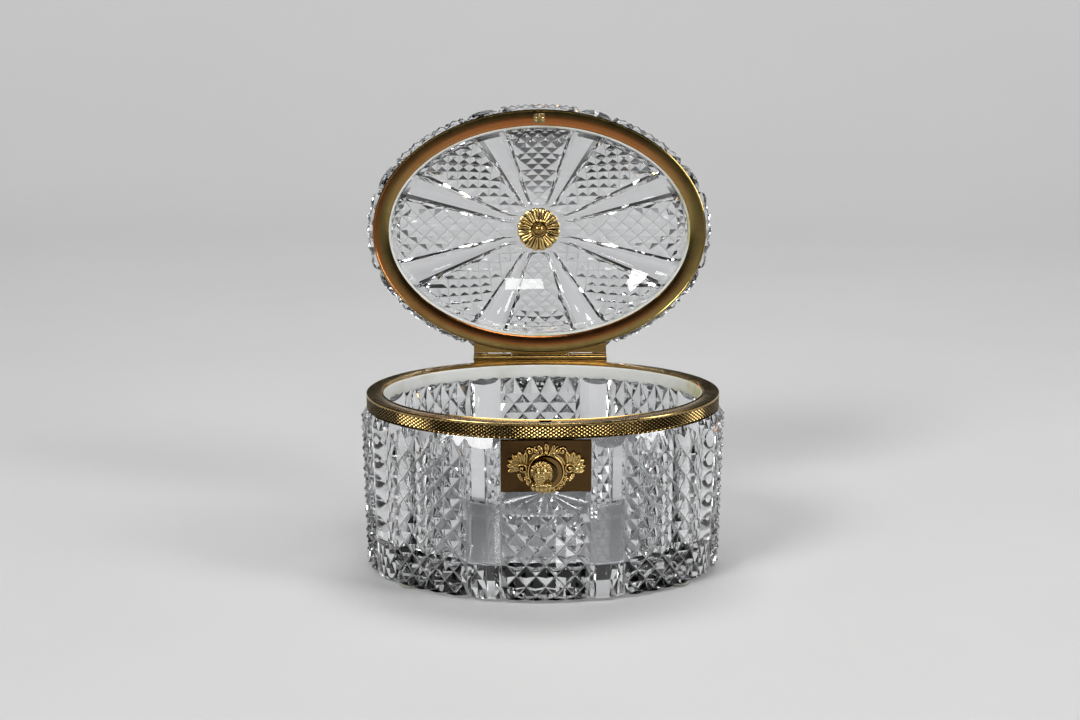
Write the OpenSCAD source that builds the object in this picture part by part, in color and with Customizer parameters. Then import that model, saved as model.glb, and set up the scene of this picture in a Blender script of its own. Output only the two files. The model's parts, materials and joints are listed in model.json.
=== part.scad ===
// Oval cut-crystal casket with hinged lid, gilt-brass mounts and a push-button latch.
// The origin is the middle of the base, on the surface that the feet stand on.
// +X is to the right, +Y to the back and +Z up. The lid is drawn open.

/* [Casket] */
// Width of the brass rim, left to right
rim_w = 190; // [160:1:230]
// Depth of the brass rim, front to back
rim_d = 138; // [120:1:160]
// Height of the base rim's top face above the table
base_h = 97; // [85:1:120]
// Angle at which the open lid rests, from closed
open_angle = 98; // [94:1:105]
// Gap between the two rims when the lid is shut
rim_gap = 0.3; // [0.2:0.05:0.5]

/* [Brass rims] */
// Width of each rim's flat face
rim_face = 9.2; // [8.6:0.1:11]
// Thickness of each rim's flat plate
face_t = 2; // [1.5:0.1:2.6]
// Thickness of each rim's outer band
band_t = 1.8; // [1.2:0.1:2.2]
// Height of the knurled band on the base
band_h = 8.2; // [7:0.1:11]
// Height of the band on the lid
lid_band_h = 5.4; // [5:0.1:8]
// Thickness of each rim's inner lip
lip_t = 1; // [0.8:0.1:1.4]
// Height of each rim's inner lip
lip_h = 3.2; // [2.6:0.1:3.6]

/* [Crystal] */
// How far the crystal stands out past the brass
stand_out = 3.2; // [2:0.1:4]
// How much the base narrows towards the table, on each side
taper = 1.9; // [0:0.1:4]
// Distance from the rim's outer edge to the crystal's inner wall
wall_in = 10; // [9.8:0.1:12]
// Thickness of the base's floor
floor_t = 15; // [10:0.5:20]
// Width of one plain rib
rib_w = 18.6; // [14:0.2:20]
// How far a rib bulges past its side grooves
rib_h = 2.8; // [1:0.1:3.2]
// Depth of the grooves between the cut diamonds
cut_depth = 2.8; // [1.5:0.1:3.2]
// Height of the sloping shoulder below the base band
shoulder_h = 5; // [4:0.5:8]
// Rise of the lid's crystal above its rim face
lid_h = 38; // [34:0.5:44]
// Height of the lid's upright wall
lid_wall_h = 15; // [12:0.5:18]
// Thickness of the lid's dome
dome_t = 8; // [6:0.5:9]

/* [Feet] */
// Diameter of one foot pad
foot_dia = 11.2; // [8:0.2:14]
// Height of one foot pad
foot_h = 2.2; // [1.5:0.1:4]
// Distance of a pad's centre in from the rim's left or right end
foot_in_x = 24; // [23:0.5:35]
// Distance of a pad's centre in from the rim's front or back
foot_in_y = 31.5; // [31:0.5:39]

/* [Hinge] */
// Length of the hinge barrel
hinge_len = 75.6; // [60:0.2:80]
// Length of the middle knuckle
mid_len = 32.4; // [20:0.2:40]
// Radius of the barrel
barrel_r = 2.8; // [2.4:0.1:3.2]
// Diameter of the hinge pin
hinge_pin_dia = 2.4; // [1.8:0.1:3]
// Distance of the hinge axis behind the rims
hinge_back = 3.4; // [3:0.1:4]
// Thickness of each hinge leaf
leaf_t = 4.2; // [3:0.1:5]
// Length of each stop lug
stop_len = 8; // [4:0.5:12]

/* [Lock plate and ornament] */
// Width of the lock plate
plate_w = 46.4; // [44:0.2:50]
// Height of the lock plate
plate_h = 27.4; // [26:0.2:32]
// Thickness of the lock plate
plate_t = 1.6; // [1.2:0.1:2.2]
// How far the plate stands out past the band
plate_out = 1.2; // [0.8:0.1:1.6]
// Height of the button's axis above the plate's lower edge
button_up = 11; // [10:0.2:12]
// Diameter of the button's seat
seat_dia = 16.2; // [15:0.2:18]
// Thickness of the button's seat
seat_t = 3; // [2.6:0.1:3.6]
// Depth of the recess in the button's seat
seat_deep = 1.8; // [1.2:0.1:2]
// Width of the cast ornament
ornament_w = 41; // [38:0.5:43]
// Relief of the cast ornament
ornament_t = 2.2; // [1.4:0.1:3]

/* [Button] */
// Diameter of the button's round base
button_dia = 11.6; // [10:0.2:12]
// Diameter of the head on the button
head_dia = 10.4; // [8:0.2:12]
// Diameter of the button's stem
stem_dia = 4; // [3:0.1:5]
// Travel of the button
button_travel = 1.2; // [0.8:0.1:1.3]
// Wire diameter of the button's coil spring
wire_dia = 0.5; // [0.3:0.05:0.6]
// Mean diameter of the button's coil spring
coil_dia = 6; // [5.4:0.1:6.4]
// Turns of the button's coil spring
coil_turns = 3; // [2:1:4]

/* [Latch] */
// Inside width of the lock case
case_w = 28.2; // [24:0.2:32]
// Thickness of the lock case's sides
case_t = 0.9; // [0.7:0.1:1.2]
// Thickness of the lock case's back
case_back_t = 0.6; // [0.4:0.05:0.7]
// Diameter of the latch lever's pivot pin
latch_pin_dia = 1.6; // [1.2:0.1:2]
// Height of the pivot below the base rim's top face
pivot_down = 15; // [14:0.5:16]
// Thickness of the latch lever
lever_t = 1.2; // [1:0.1:1.4]
// Width of the latch lever's lower arm
lever_w = 10; // [8:0.5:12]
// Width of the catch
catch_w = 5; // [4:0.2:6]
// How far the catch reaches over the keeper's teeth
catch_bite = 1; // [0.6:0.1:1.1]
// Length of the keeper's prongs below the lid's rim face
keeper_len = 7.1; // [6.5:0.1:7.5]
// Thickness of one prong
prong_t = 1.4; // [1:0.1:1.6]
// Gap between the two prongs
prong_gap = 2.2; // [1.8:0.1:2.6]

/* [Rosettes] */
// Diameter of each rosette
rosette_dia = 25; // [20:0.5:30]
// Petals on each rosette
petals = 16; // [12:2:20]
// Diameter of the stud through the lid
stud_dia = 4; // [3:0.1:5]
// Thickness of each leather washer
washer_t = 0.8; // [0.5:0.1:1.2]

/* [Hidden] */

brass = [0.72, 0.55, 0.22];
dark_brass = [0.40, 0.30, 0.13];
crystal = [0.82, 0.86, 0.90, 0.55];
cement = [0.90, 0.89, 0.84];
steel = [0.62, 0.63, 0.65];
leather = [0.40, 0.26, 0.15];
pad = [0.68, 0.71, 0.62, 0.8];

fit_gap = 0.05;        // between pieces that seat on each other
free_gap = 0.3;        // between pieces that only pass each other
eps = 0.01;
over = 1;              // how far a cutter runs past what it cuts
oval_n = 96;           // sides of the smooth ovals
semi_x = rim_w / 2;
semi_y = rim_d / 2;

// ---- the oval, its equal arc lengths and its normals ----
arc_steps = 360;
function oval_speed(t) = sqrt(pow(semi_x * sin(t), 2) + pow(semi_y * cos(t), 2)) * PI / 180;
arc_table = [
    for (i = 0, s = 0; i <= arc_steps; s = s + oval_speed(i + 0.5), i = i + 1) [s, i]
];
arc_total = arc_table[arc_steps][0];
function wrap(s) = s < 0 ? s + arc_total : (s >= arc_total ? s - arc_total : s);
function angle_at(s) = lookup(wrap(s), arc_table);
function oval_point(t, inset) = [(semi_x - inset) * cos(t), (semi_y - inset) * sin(t)];
function oval_normal(t) =
    let (n = [semi_y * cos(t), semi_x * sin(t)])
    n / norm(n);
function oval_y(x, inset) = (semi_y - inset) * sqrt(1 - pow(x / (semi_x - inset), 2));

// ---- the cut pattern: sectors of one diamond panel and one round rib ----
sectors = 8;
sector_len = arc_total / sectors;
panel_half = (sector_len - rib_w) / 2;
cells = 4;             // whole diamonds across a panel
edge_margin = 2.6;     // width of the groove's face on each side of the diamonds
half_cell = (panel_half - edge_margin) / cells;
rib_cols = 5;
panel_cols = 2 * cells + 3;
sector_cols = panel_cols + rib_cols;
cols = sectors * sector_cols;
front_sector = 6;      // its panel faces -Y

function col_in(c) = c % sector_cols;
function sector_of(c) = floor(c / sector_cols);
function is_rib(c) = col_in(c) >= panel_cols;
function is_margin(c) = col_in(c) == 0 || col_in(c) == panel_cols - 1;
function rib_share(c) = (col_in(c) - panel_cols + 1) / (rib_cols + 1);
function col_offset(c) =
    is_rib(c) ? panel_half + rib_share(c) * rib_w :
    col_in(c) == 0 ? -panel_half :
    col_in(c) == panel_cols - 1 ? panel_half :
    (col_in(c) - 1 - cells) * half_cell;
col_angle = [for (c = [0:cols - 1]) angle_at(sector_of(c) * sector_len + col_offset(c))];
function is_tip(c, row) = (col_in(c) + row) % 2 == 0;
function rib_cut(c) = -rib_h * pow(2 * rib_share(c) - 1, 2);
// how far a point of the cut surface lies inside the crystal's outline
function cut(c, row) =
    is_rib(c) ? rib_cut(c) :
    is_margin(c) ? -rib_h :
    is_tip(c, row) ? 0 : -cut_depth;

// One ring of a crystal: every column at height z and inset w, moved out by d(c)
function ring(w, z, d) = [
    for (c = [0:cols - 1])
        let (p = oval_point(col_angle[c], w) + d[c] * oval_normal(col_angle[c]))
        [p[0], p[1], z]
];
flat_ring = [for (c = [0:cols - 1]) 0];
// behind the lock plate the front panel is left uncut
function is_plain(c, row) = sector_of(c) == front_sector && !is_rib(c) && row > plain_row;
function cut_ring(row) = [for (c = [0:cols - 1]) is_plain(c, row) ? 0 : cut(c, row)];
// The ring at the bottom, where the diamonds have run out to half their depth
bottom_ring = [
    for (c = [0:cols - 1])
        is_rib(c) ? rib_cut(c) : is_margin(c) ? -rib_h : -cut_depth / 2
];
// A ring where the cuts d meet a shoulder that starts at height z and inset w and rises by
// rise over the stand-out: the deeper a cut, the further up the shoulder it ends
function shoulder_ring(w, z, rise, d) = [
    for (c = [0:cols - 1])
        let (p = oval_point(col_angle[c], w) + d[c] * oval_normal(col_angle[c]))
        [p[0], p[1], z + rise * min(-d[c] / stand_out, 0.9)]
];

// A closed shell from a list of rings, with a point before the first and after the last.
// first_cut is the ring that holds the diamonds' row 0, so that they split along their grooves.
module shell(first, rings, last, first_cut) {
    n = len(rings);
    points = concat([first], [for (r = rings) each r], [last]);
    function at(r, c) = 1 + r * cols + c % cols;
    function split(r, c) = is_tip(c, r + first_cut);
    faces = concat(
        [for (c = [0:cols - 1]) [0, at(0, c), at(0, c + 1)]],
        [for (r = [0:n - 2]) for (c = [0:cols - 1])
            split(r, c) ? [at(r, c), at(r + 1, c), at(r, c + 1)] : [at(r, c), at(r + 1, c), at(r + 1, c + 1)]],
        [for (r = [0:n - 2]) for (c = [0:cols - 1])
            split(r, c) ? [at(r + 1, c), at(r + 1, c + 1), at(r, c + 1)] : [at(r, c), at(r + 1, c + 1), at(r, c + 1)]],
        [for (c = [0:cols - 1]) [at(n - 1, c), len(points) - 1, at(n - 1, c + 1)]]
    );
    polyhedron(points = points, faces = faces, convexity = 10);
}

// ---- heights of the base ----
band_bottom = base_h - band_h;
cement_t = 1;                               // bedding between the crystal's lip and the brass
crystal_top = base_h - face_t - cement_t;   // the crystal's lip
bedding_show = 3;                           // how much of the bedding shows past the inner lip
bedding_drop = lip_h + bedding_show;
bedding_in = 0.2;                           // from the bedding's face to the crystal's wall
lip_room = 1.6;                             // bedding beside the crystal's lip
lip_out = band_t + lip_room;                // the crystal lip's faces, as insets
lip_in = rim_face - lip_room;
bevel = 1.2;                                // height of the bevel round the bottom
bevel_in = 0.84;                            // its width
cut_bottom = foot_h + bevel;
cut_top = band_bottom - shoulder_h;
base_rows = 14;                             // half diamonds up the base
row_h = (cut_top - cut_bottom) / base_rows;
floor_round = 4;                            // the inside's rounding at the floor
wall_draft = 0.6;
function side_inset(z) = taper * (cut_top - z) / (cut_top - cut_bottom) - stand_out;

module oval(inset) {
    polygon([for (i = [0:oval_n - 1]) oval_point(360 * i / oval_n, inset)]);
}

module oval_ring(outer, inner, z, h) {
    translate([0, 0, z])
        linear_extrude(height = h)
            difference() {
                oval(outer);
                oval(inner);
            }
}

// ---- lock plate, lock case and button places ----
plate_front = -(semi_y + plate_out);
plate_back = plate_front + plate_t;
plate_top = band_bottom - fit_gap;
plate_bottom = plate_top - plate_h;
button_z = plate_bottom + button_up;
seat_floor = plate_front - seat_t + seat_deep;
case_to_wall = 1.95;                        // crystal left between the case and the inside
case_back = -(semi_y - wall_in + case_to_wall);
case_inner = case_back - case_back_t;
case_up = 3.6;                              // from the plate's lower edge to the case's
case_bottom = plate_bottom + case_up;
case_top = base_h - face_t - fit_gap;
case_outer_w = case_w + 2 * case_t;
case_front_in = 1.1;                        // from the band's inner face to the case's upper part
pivot_in = 1.6;                             // from the band's inner face to the pivot
pivot_z = base_h - pivot_down;
pivot_y = -(semi_y - band_t - pivot_in);
lever_front = pivot_y - lever_t / 2;
stem_tip = lever_front - free_gap;

plain_row = ceil((plate_bottom - cut_bottom) / row_h);
fan_rise = plate_back + fit_gap + semi_y + stand_out - 0.4;  // from the plate's flat out to the tips

// ---- keeper and its slot ----
prong_back = case_inner - free_gap;
neck_t = 1.2;
tooth_front = prong_back - neck_t - free_gap - catch_bite;
catch_end = tooth_front + catch_bite;
tooth_h = 1.7;
prong_bottom = base_h + rim_gap - keeper_len;
tooth_top = prong_bottom + tooth_h;
catch_z = tooth_top + free_gap - fit_gap;
catch_h = 1.5;
arm_t = 1;                                  // thickness of the catch's cranked arm
catch_arm_front = tooth_front - arm_t;
keeper_w = prong_gap + 2 * prong_t;
keeper_flange_t = 0.9;
slot_w = keeper_w + 2 * free_gap;
slot_front = tooth_front - 0.4;             // room for the teeth in the rim's slot
slot_back = case_inner - 0.1;

// ---- hinge ----
hinge_y = semi_y + hinge_back;
hinge_z = base_h + rim_gap / 2;
hinge_gap = 0.3;                            // between the knuckles
leaf_clear = barrel_r + 0.4;                // from the axis to a leaf cut back for the other's knuckle
stop_top = 2.2;                             // height of the stop lugs above the hinge axis

// Turns the lid's pieces, drawn shut, to where the open lid rests
module opened() {
    translate([0, hinge_y, hinge_z])
        rotate([-open_angle, 0, 0])
            translate([0, -hinge_y, -hinge_z])
                children();
}
lid_z = base_h + rim_gap;                   // the lid rim's face when shut

// ================= base =================

module base_crystal() {
    outer_rows = [for (r = [0:base_rows - 1])
        let (z = cut_bottom + r * row_h)
        ring(side_inset(z), z, cut_ring(r))];
    rings = concat(
        [ring(side_inset(cut_bottom) + bevel_in, foot_h, bottom_ring)],
        outer_rows,
        [shoulder_ring(side_inset(cut_top), cut_top, shoulder_h, cut_ring(base_rows))],
        [ring(0, band_bottom - fit_gap, flat_ring)],
        [ring(lip_out, band_bottom - fit_gap, flat_ring)],
        [ring(lip_out, crystal_top, flat_ring)],
        [ring(lip_in, crystal_top, flat_ring)],
        [ring(lip_in, base_h - bedding_drop, flat_ring)],
        [ring(wall_in, base_h - bedding_drop, flat_ring)],
        [ring(wall_in + wall_draft, foot_h + floor_t + floor_round, flat_ring)],
        [ring(wall_in + floor_round, foot_h + floor_t, flat_ring)]
    );
    color(crystal)
        difference() {
            shell([0, 0, foot_h], rings, [0, 0, foot_h + floor_t], 1);
            plate_pocket();
            fan_slope();
            fan_rays();
            case_pocket();
        }
}

// The flat that the plate lies on, a little larger than the plate
flat_half = plate_w / 2 + free_gap;
flat_bottom = plate_bottom - free_gap;
flat_back = plate_back + fit_gap;
flat_deep = 12;        // how far in front of a flat its cutter reaches

module plate_pocket() {
    translate([-flat_half, flat_back - flat_deep, flat_bottom])
        cube([2 * flat_half, flat_deep, base_h]);
}

// Below the plate a flat slopes out and down to the diamonds, wider at its lower end, and
// a fan of grooves is cut in it
fan_len = 11.5;
fan_lean = atan(fan_rise / fan_len);
fan_wing = 8;          // how much wider the lower end is, on each side
ray_len = 13;
ray_w = 2.6;
ray_depth = 0.8;
ray_turns = [-66, -44, -22, 0, 22, 44, 66];

module on_fan() {
    translate([0, flat_back, flat_bottom])
        rotate([90 - fan_lean, 0, 0])
            children();
}

module fan_slope() {
    on_fan()
        linear_extrude(height = flat_deep)
            polygon([
                [-flat_half, over],
                [-flat_half, 0],
                [-flat_half - fan_wing, -fan_len * 1.4],
                [flat_half + fan_wing, -fan_len * 1.4],
                [flat_half, 0],
                [flat_half, over]
            ]);
}

module fan_rays() {
    on_fan()
        for (turn = ray_turns)
            rotate([0, 0, turn])
                translate([0, -1.5, 0])
                    rotate([90, 0, 0])
                        linear_extrude(height = ray_len)
                            polygon([[-ray_w / 2, ray_depth / 2], [0, -ray_depth], [ray_w / 2, ray_depth / 2]]);
}

module case_pocket() {
    pocket_w = case_outer_w + 2 * fit_gap;
    pocket_y = plate_back - over;
    translate([-pocket_w / 2, pocket_y, case_bottom - fit_gap])
        cube([pocket_w, case_back + fit_gap - pocket_y, base_h]);
}

module base_rim() {
    color(brass)
        difference() {
            union() {
                oval_ring(0, rim_face, base_h - face_t, face_t);
                oval_ring(0, band_t, band_bottom, band_h);
                oval_ring(rim_face - lip_t, rim_face, base_h - lip_h, lip_h);
            }
            translate([-slot_w / 2, slot_front, base_h - face_t - over])
                cube([slot_w, slot_back - slot_front, face_t + 2 * over]);
        }
}

module base_bedding() {
    color(cement)
        difference() {
            union() {
                oval_ring(band_t + fit_gap, rim_face - lip_t - fit_gap, crystal_top + fit_gap,
                    base_h - face_t - crystal_top - 2 * fit_gap);
                oval_ring(band_t + fit_gap, lip_out - fit_gap, band_bottom,
                    base_h - face_t - band_bottom - fit_gap);
                oval_ring(lip_in + fit_gap, wall_in - bedding_in, base_h - bedding_drop + fit_gap,
                    bedding_drop - lip_h - 2 * fit_gap);
                oval_ring(lip_in + fit_gap, rim_face - lip_t - fit_gap, base_h - bedding_drop + fit_gap,
                    bedding_drop - face_t - 2 * fit_gap);
            }
            translate([-case_outer_w / 2 - fit_gap, -semi_y, band_bottom - over])
                cube([case_outer_w + 2 * fit_gap, semi_y + case_back + fit_gap, band_h + 2 * over]);
        }
}

foot_round = 0.6;                           // rounding round a pad's lower edge

module foot(side, end) {
    color(pad)
        translate([side * (semi_x - foot_in_x), end * (semi_y - foot_in_y), 0])
            difference() {
                cylinder(d = foot_dia, h = foot_h - fit_gap, $fn = 48);
                rotate_extrude($fn = 48)
                    translate([foot_dia / 2, 0])
                        circle(r = foot_round, $fn = 24);
            }
}

// ================= hinge =================

// One leaf's plate, from the rim's edge to the barrel: solid along the knuckles of its own,
// and cut back from the other leaf's
module leaf_plate(z, h, own_middle) {
    side_len = (hinge_len - mid_len) / 2;
    edge_steps = 24;
    edge = [for (i = [0:edge_steps])
        let (x = -hinge_len / 2 + hinge_len * i / edge_steps)
        [x, oval_y(x, 0) + fit_gap]];
    own_y = hinge_y;
    back_y = hinge_y - leaf_clear;
    mid_y = own_middle ? own_y : back_y;
    end_y = own_middle ? back_y : own_y;
    mid_half = mid_len / 2 + (own_middle ? -hinge_gap / 2 : hinge_gap / 2);
    translate([0, 0, z])
        linear_extrude(height = h)
            polygon(concat(edge, [
                [hinge_len / 2, end_y],
                [mid_half, end_y],
                [mid_half, mid_y],
                [-mid_half, mid_y],
                [-mid_half, end_y],
                [-hinge_len / 2, end_y]
            ]));
}

module barrel(x, length) {
    translate([x, hinge_y, hinge_z])
        rotate([0, 90, 0])
            cylinder(r = barrel_r, h = length, center = true, $fn = 48);
}

module pin_bore() {
    translate([0, hinge_y, hinge_z])
        rotate([0, 90, 0])
            cylinder(d = hinge_pin_dia + 2 * fit_gap, h = hinge_len + 2 * over, center = true, $fn = 32);
}

side_knuckle = (hinge_len - mid_len) / 2 - hinge_gap / 2;

module hinge_base_leaf() {
    lug_y = 0.5;
    lug_back = 5;
    color(brass)
        difference() {
            union() {
                leaf_plate(base_h - leaf_t, leaf_t, false);
                for (side = [-1, 1]) {
                    barrel(side * (hinge_len - side_knuckle) / 2, side_knuckle);
                    translate([side * (hinge_len / 2 - stop_len / 2) - stop_len / 2, hinge_y + lug_y, base_h - leaf_t])
                        cube([stop_len, lug_back - lug_y, leaf_t + rim_gap / 2 + stop_top]);
                }
            }
            pin_bore();
        }
}

module hinge_lid_leaf() {
    color(brass)
        opened()
            difference() {
                union() {
                    leaf_plate(lid_z, leaf_t, true);
                    barrel(0, mid_len - hinge_gap);
                }
                pin_bore();
            }
}

module hinge_pin() {
    pin_out = 0.3;                          // how far the pin stands out at each end
    color(brass)
        translate([0, hinge_y, hinge_z])
            rotate([0, 90, 0])
                cylinder(d = hinge_pin_dia, h = hinge_len + 2 * pin_out, center = true, $fn = 32);
}

// ================= lock plate and ornament =================

module along_y(y) {
    translate([0, y, button_z])
        rotate([90, 0, 0])
            children();
}

module lock_plate() {
    color(dark_brass)
        difference() {
            translate([-plate_w / 2, plate_front, plate_bottom])
                cube([plate_w, plate_t, plate_h]);
            along_y(plate_back + over)
                cylinder(d = stem_dia + 2 * fit_gap, h = plate_t + 2 * over, $fn = 40);
            for (side = [-1, 1])
                translate([side * rivet_x, plate_back + over, rivet_z])
                    rotate([90, 0, 0])
                        cylinder(d = rivet_dia + 2 * fit_gap, h = plate_t + 2 * over, $fn = 24);
        }
}

rivet_dia = 1.6;
rivet_x = ornament_w * 0.36;
rivet_up = 4.5;                             // from the button's axis to the rivets
rivet_z = button_z + rivet_up;
lobe_edge = 0.4;                            // thickness of a leaf's edge
lobe_crown = [0.55, 0.45];                  // its crown, as shares of its length and width
crest_up = 8.8;                             // from the button's axis to the crest's foot
collar_w = 5;                               // width of the collar round the seat
collar_t = 1;
// Leaves of one wing: distance in from its end, height above the button's axis, length,
// width, turn and share of the relief
wing_leaves = [
    [3.6, 3.2, 8, 6.4, 35, 1],
    [7.2, 6.6, 9, 5.4, -28, 0.8],
    [7.8, -0.6, 8, 5, 30, 0.7]
];

// A leaf of the ornament: a low dome on an oval foot, drawn on the plate's front
module lobe(x, z, length, width, turn, high) {
    translate([x, plate_front - fit_gap, z])
        rotate([90, 0, 0])
            rotate([0, 0, turn])
                hull() {
                    linear_extrude(height = lobe_edge)
                        resize([length, width])
                            circle(d = length, $fn = 20);
                    linear_extrude(height = high)
                        resize([length * lobe_crown[0], width * lobe_crown[1]])
                            circle(d = length, $fn = 12);
                }
}

module escutcheon_wing(side) {
    for (leaf = wing_leaves)
        lobe(side * (ornament_w / 2 - leaf[0]), button_z + leaf[1], leaf[2], leaf[3],
            side * leaf[4], ornament_t * leaf[5]);
}

module escutcheon() {
    wing_bar_w = ornament_w - 8;
    wing_bar_h = 5;
    wing_bar_up = 2.4;
    color(brass)
        difference() {
            union() {
                for (side = [-1, 1])
                    escutcheon_wing(side);
                hull()
                    for (turn = [-50, 0, 50])
                        translate([0, plate_front - fit_gap, button_z + crest_up])
                            rotate([90, 0, 0])
                                rotate([0, 0, turn])
                                    translate([0, 2.6, 0])
                                        cylinder(r1 = 3, r2 = 1.4, h = ornament_t, $fn = 20);
                along_y(plate_front - fit_gap)
                    cylinder(d = seat_dia + collar_w, h = collar_t, $fn = 64);
                translate([-wing_bar_w / 2, plate_front - fit_gap - collar_t, button_z + wing_bar_up])
                    cube([wing_bar_w, collar_t, wing_bar_h]);
            }
            along_y(plate_front + over)
                cylinder(d = seat_dia + 2 * fit_gap, h = ornament_t + 4 * over, $fn = 64);
            for (side = [-1, 1])
                translate([side * rivet_x, plate_front + over, rivet_z])
                    rotate([90, 0, 0])
                        cylinder(d = rivet_dia + 2 * fit_gap, h = ornament_t + 4 * over, $fn = 24);
        }
}

module escutcheon_rivets() {
    rivet_len = plate_t + ornament_t + 2 * fit_gap;
    color(brass)
        for (side = [-1, 1])
            translate([side * rivet_x, plate_back, rivet_z])
                rotate([90, 0, 0])
                    cylinder(d = rivet_dia, h = rivet_len, $fn = 24);
}

module button_seat() {
    color(brass)
        along_y(plate_front - fit_gap)
            difference() {
                cylinder(d = seat_dia, h = seat_t - fit_gap, $fn = 64);
                translate([0, 0, seat_t - seat_deep - fit_gap])
                    cylinder(d = button_dia + 2 * free_gap, h = seat_deep + over, $fn = 64);
                translate([0, 0, -over])
                    cylinder(d = stem_dia + 2 * fit_gap, h = seat_t + 2 * over, $fn = 40);
            }
}

button_rest = 0.5;                          // the button base's face above its seat's recess at full travel
button_back = seat_floor - button_travel - button_rest;
button_base_t = 2.4;
spring_pocket = 1.6;                        // depth of the pocket in the button's back
spigot_dia = stem_dia - 1;                  // the stem's reduced end, which the button sits on
spigot_len = 2.5;
collar_up = 1.2;                            // the ruff's lobes above the button's base
collar_drop = 0.42;                         // and their places and size, as shares of the head's diameter
collar_side = 0.34;
collar_dia = 0.36;

module push_button() {
    color(brass)
        along_y(button_back)
            difference() {
                union() {
                    cylinder(d = button_dia, h = button_base_t, $fn = 64);
                    translate([0, 1, button_base_t + head_dia * 0.3])
                        sphere(d = head_dia, $fn = 48);
                    for (side = [-1, 1])
                        translate([side * head_dia * collar_side, -head_dia * collar_drop, button_base_t + collar_up])
                            sphere(d = head_dia * collar_dia, $fn = 32);
                }
                translate([0, 0, -over])
                    cylinder(d = coil_dia + wire_dia + 2 * free_gap, h = spring_pocket + over, $fn = 40);
                translate([0, 0, -over])
                    cylinder(d = spigot_dia + 2 * fit_gap, h = spring_pocket + spigot_len + 1.5 * over, $fn = 32);
            }
}

module button_stem() {
    stem_len = stem_tip - (button_back - spring_pocket);
    color(steel)
        along_y(stem_tip) {
            cylinder(d = stem_dia, h = stem_len - fit_gap, $fn = 40);
            cylinder(d = spigot_dia, h = stem_len + spigot_len, $fn = 32);
        }
}

// A coil swept as one closed tube
function coil_point(i, steps, length, a) =
    let (turn = 360 * coil_turns * i / steps)
    let (r = (coil_dia + wire_dia * cos(a)) / 2)
    [r * cos(turn), r * sin(turn), wire_dia / 2 + (length - wire_dia) * i / steps + wire_dia / 2 * sin(a)];

module coil(length) {
    steps = coil_turns * 16;
    sides = 8;
    points = [for (i = [0:steps]) for (k = [0:sides - 1]) coil_point(i, steps, length, 360 * k / sides)];
    faces = concat(
        [[for (k = [0:sides - 1]) k]],
        [for (i = [0:steps - 1]) for (k = [0:sides - 1])
            [i * sides + k, (i + 1) * sides + k, i * sides + (k + 1) % sides]],
        [for (i = [0:steps - 1]) for (k = [0:sides - 1])
            [(i + 1) * sides + k, (i + 1) * sides + (k + 1) % sides, i * sides + (k + 1) % sides]],
        [[for (k = [sides - 1:-1:0]) steps * sides + k]]
    );
    polyhedron(points = points, faces = faces, convexity = 6);
}

module button_spring() {
    length = seat_floor - (button_back - spring_pocket) - 2 * fit_gap;
    color(steel)
        along_y(seat_floor - fit_gap)
            coil(length);
}

// ================= latch =================

module latch_bore(length) {
    translate([0, pivot_y, pivot_z])
        rotate([0, 90, 0])
            cylinder(d = latch_pin_dia + 2 * fit_gap, h = length + 2 * over, center = true, $fn = 24);
}

module lock_case() {
    upper_front = -(semi_y - band_t - case_front_in);
    lower_top = band_bottom - fit_gap;
    color(dark_brass)
        difference() {
            union() {
                translate([-case_outer_w / 2, plate_back, case_bottom])
                    cube([case_outer_w, case_back - plate_back, lower_top - case_bottom]);
                translate([-case_outer_w / 2, upper_front, case_bottom])
                    cube([case_outer_w, case_back - upper_front, case_top - case_bottom]);
            }
            translate([-case_w / 2, plate_back - over, case_bottom + case_t])
                cube([case_w, case_inner - plate_back + over, base_h]);
            latch_bore(case_outer_w);
        }
}

module latch_pin() {
    color(steel)
        translate([0, pivot_y, pivot_z])
            rotate([0, 90, 0])
                cylinder(d = latch_pin_dia, h = case_outer_w, center = true, $fn = 24);
}

module latch_lever() {
    boss_r = latch_pin_dia / 2 + 0.9;
    foot_z = button_z - 2.4;
    knee_z = pivot_z + 4.5;
    color(dark_brass)
        difference() {
            union() {
                translate([-lever_w / 2, lever_front, foot_z])
                    cube([lever_w, lever_t, pivot_z - foot_z]);
                translate([-lever_w / 2, pivot_y, pivot_z])
                    rotate([0, 90, 0])
                        cylinder(r = boss_r, h = lever_w, $fn = 32);
                translate([-catch_w / 2, lever_front, pivot_z])
                    cube([catch_w, lever_t, knee_z - pivot_z]);
                translate([-catch_w / 2, lever_front, knee_z - arm_t])
                    cube([catch_w, catch_arm_front + arm_t - lever_front, arm_t]);
                translate([-catch_w / 2, catch_arm_front, knee_z - arm_t])
                    cube([catch_w, arm_t, catch_z + catch_h - knee_z + arm_t]);
                translate([-catch_w / 2, catch_arm_front, catch_z])
                    cube([catch_w, catch_end - catch_arm_front, catch_h]);
            }
            latch_bore(lever_w);
        }
}

// A thin bowed strip from the case's back to the lever's lower arm
module latch_spring() {
    strip_t = 0.25;
    strip_w = 4;
    strip_back = case_inner - fit_gap;
    strip_front = lever_front + lever_t + fit_gap;
    strip_bottom = case_bottom + case_t + fit_gap;
    strip_top = button_z + 1;
    bow = strip_back - strip_t - strip_front;
    steps = 10;
    function strip_y(i) = strip_back - strip_t - bow * (1 - cos(180 * i / steps)) / 2;
    function strip_z(i) = strip_bottom + (strip_top - strip_bottom) * i / steps;
    color(steel)
        translate([strip_w / 2, 0, 0])
            rotate([90, 0, -90])
                linear_extrude(height = strip_w)
                    polygon(concat(
                        [for (i = [0:steps]) [-strip_y(i), strip_z(i)]],
                        [for (i = [steps:-1:0]) [-strip_y(i) - strip_t, strip_z(i)]]
                    ));
}

// ================= lid =================

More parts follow.
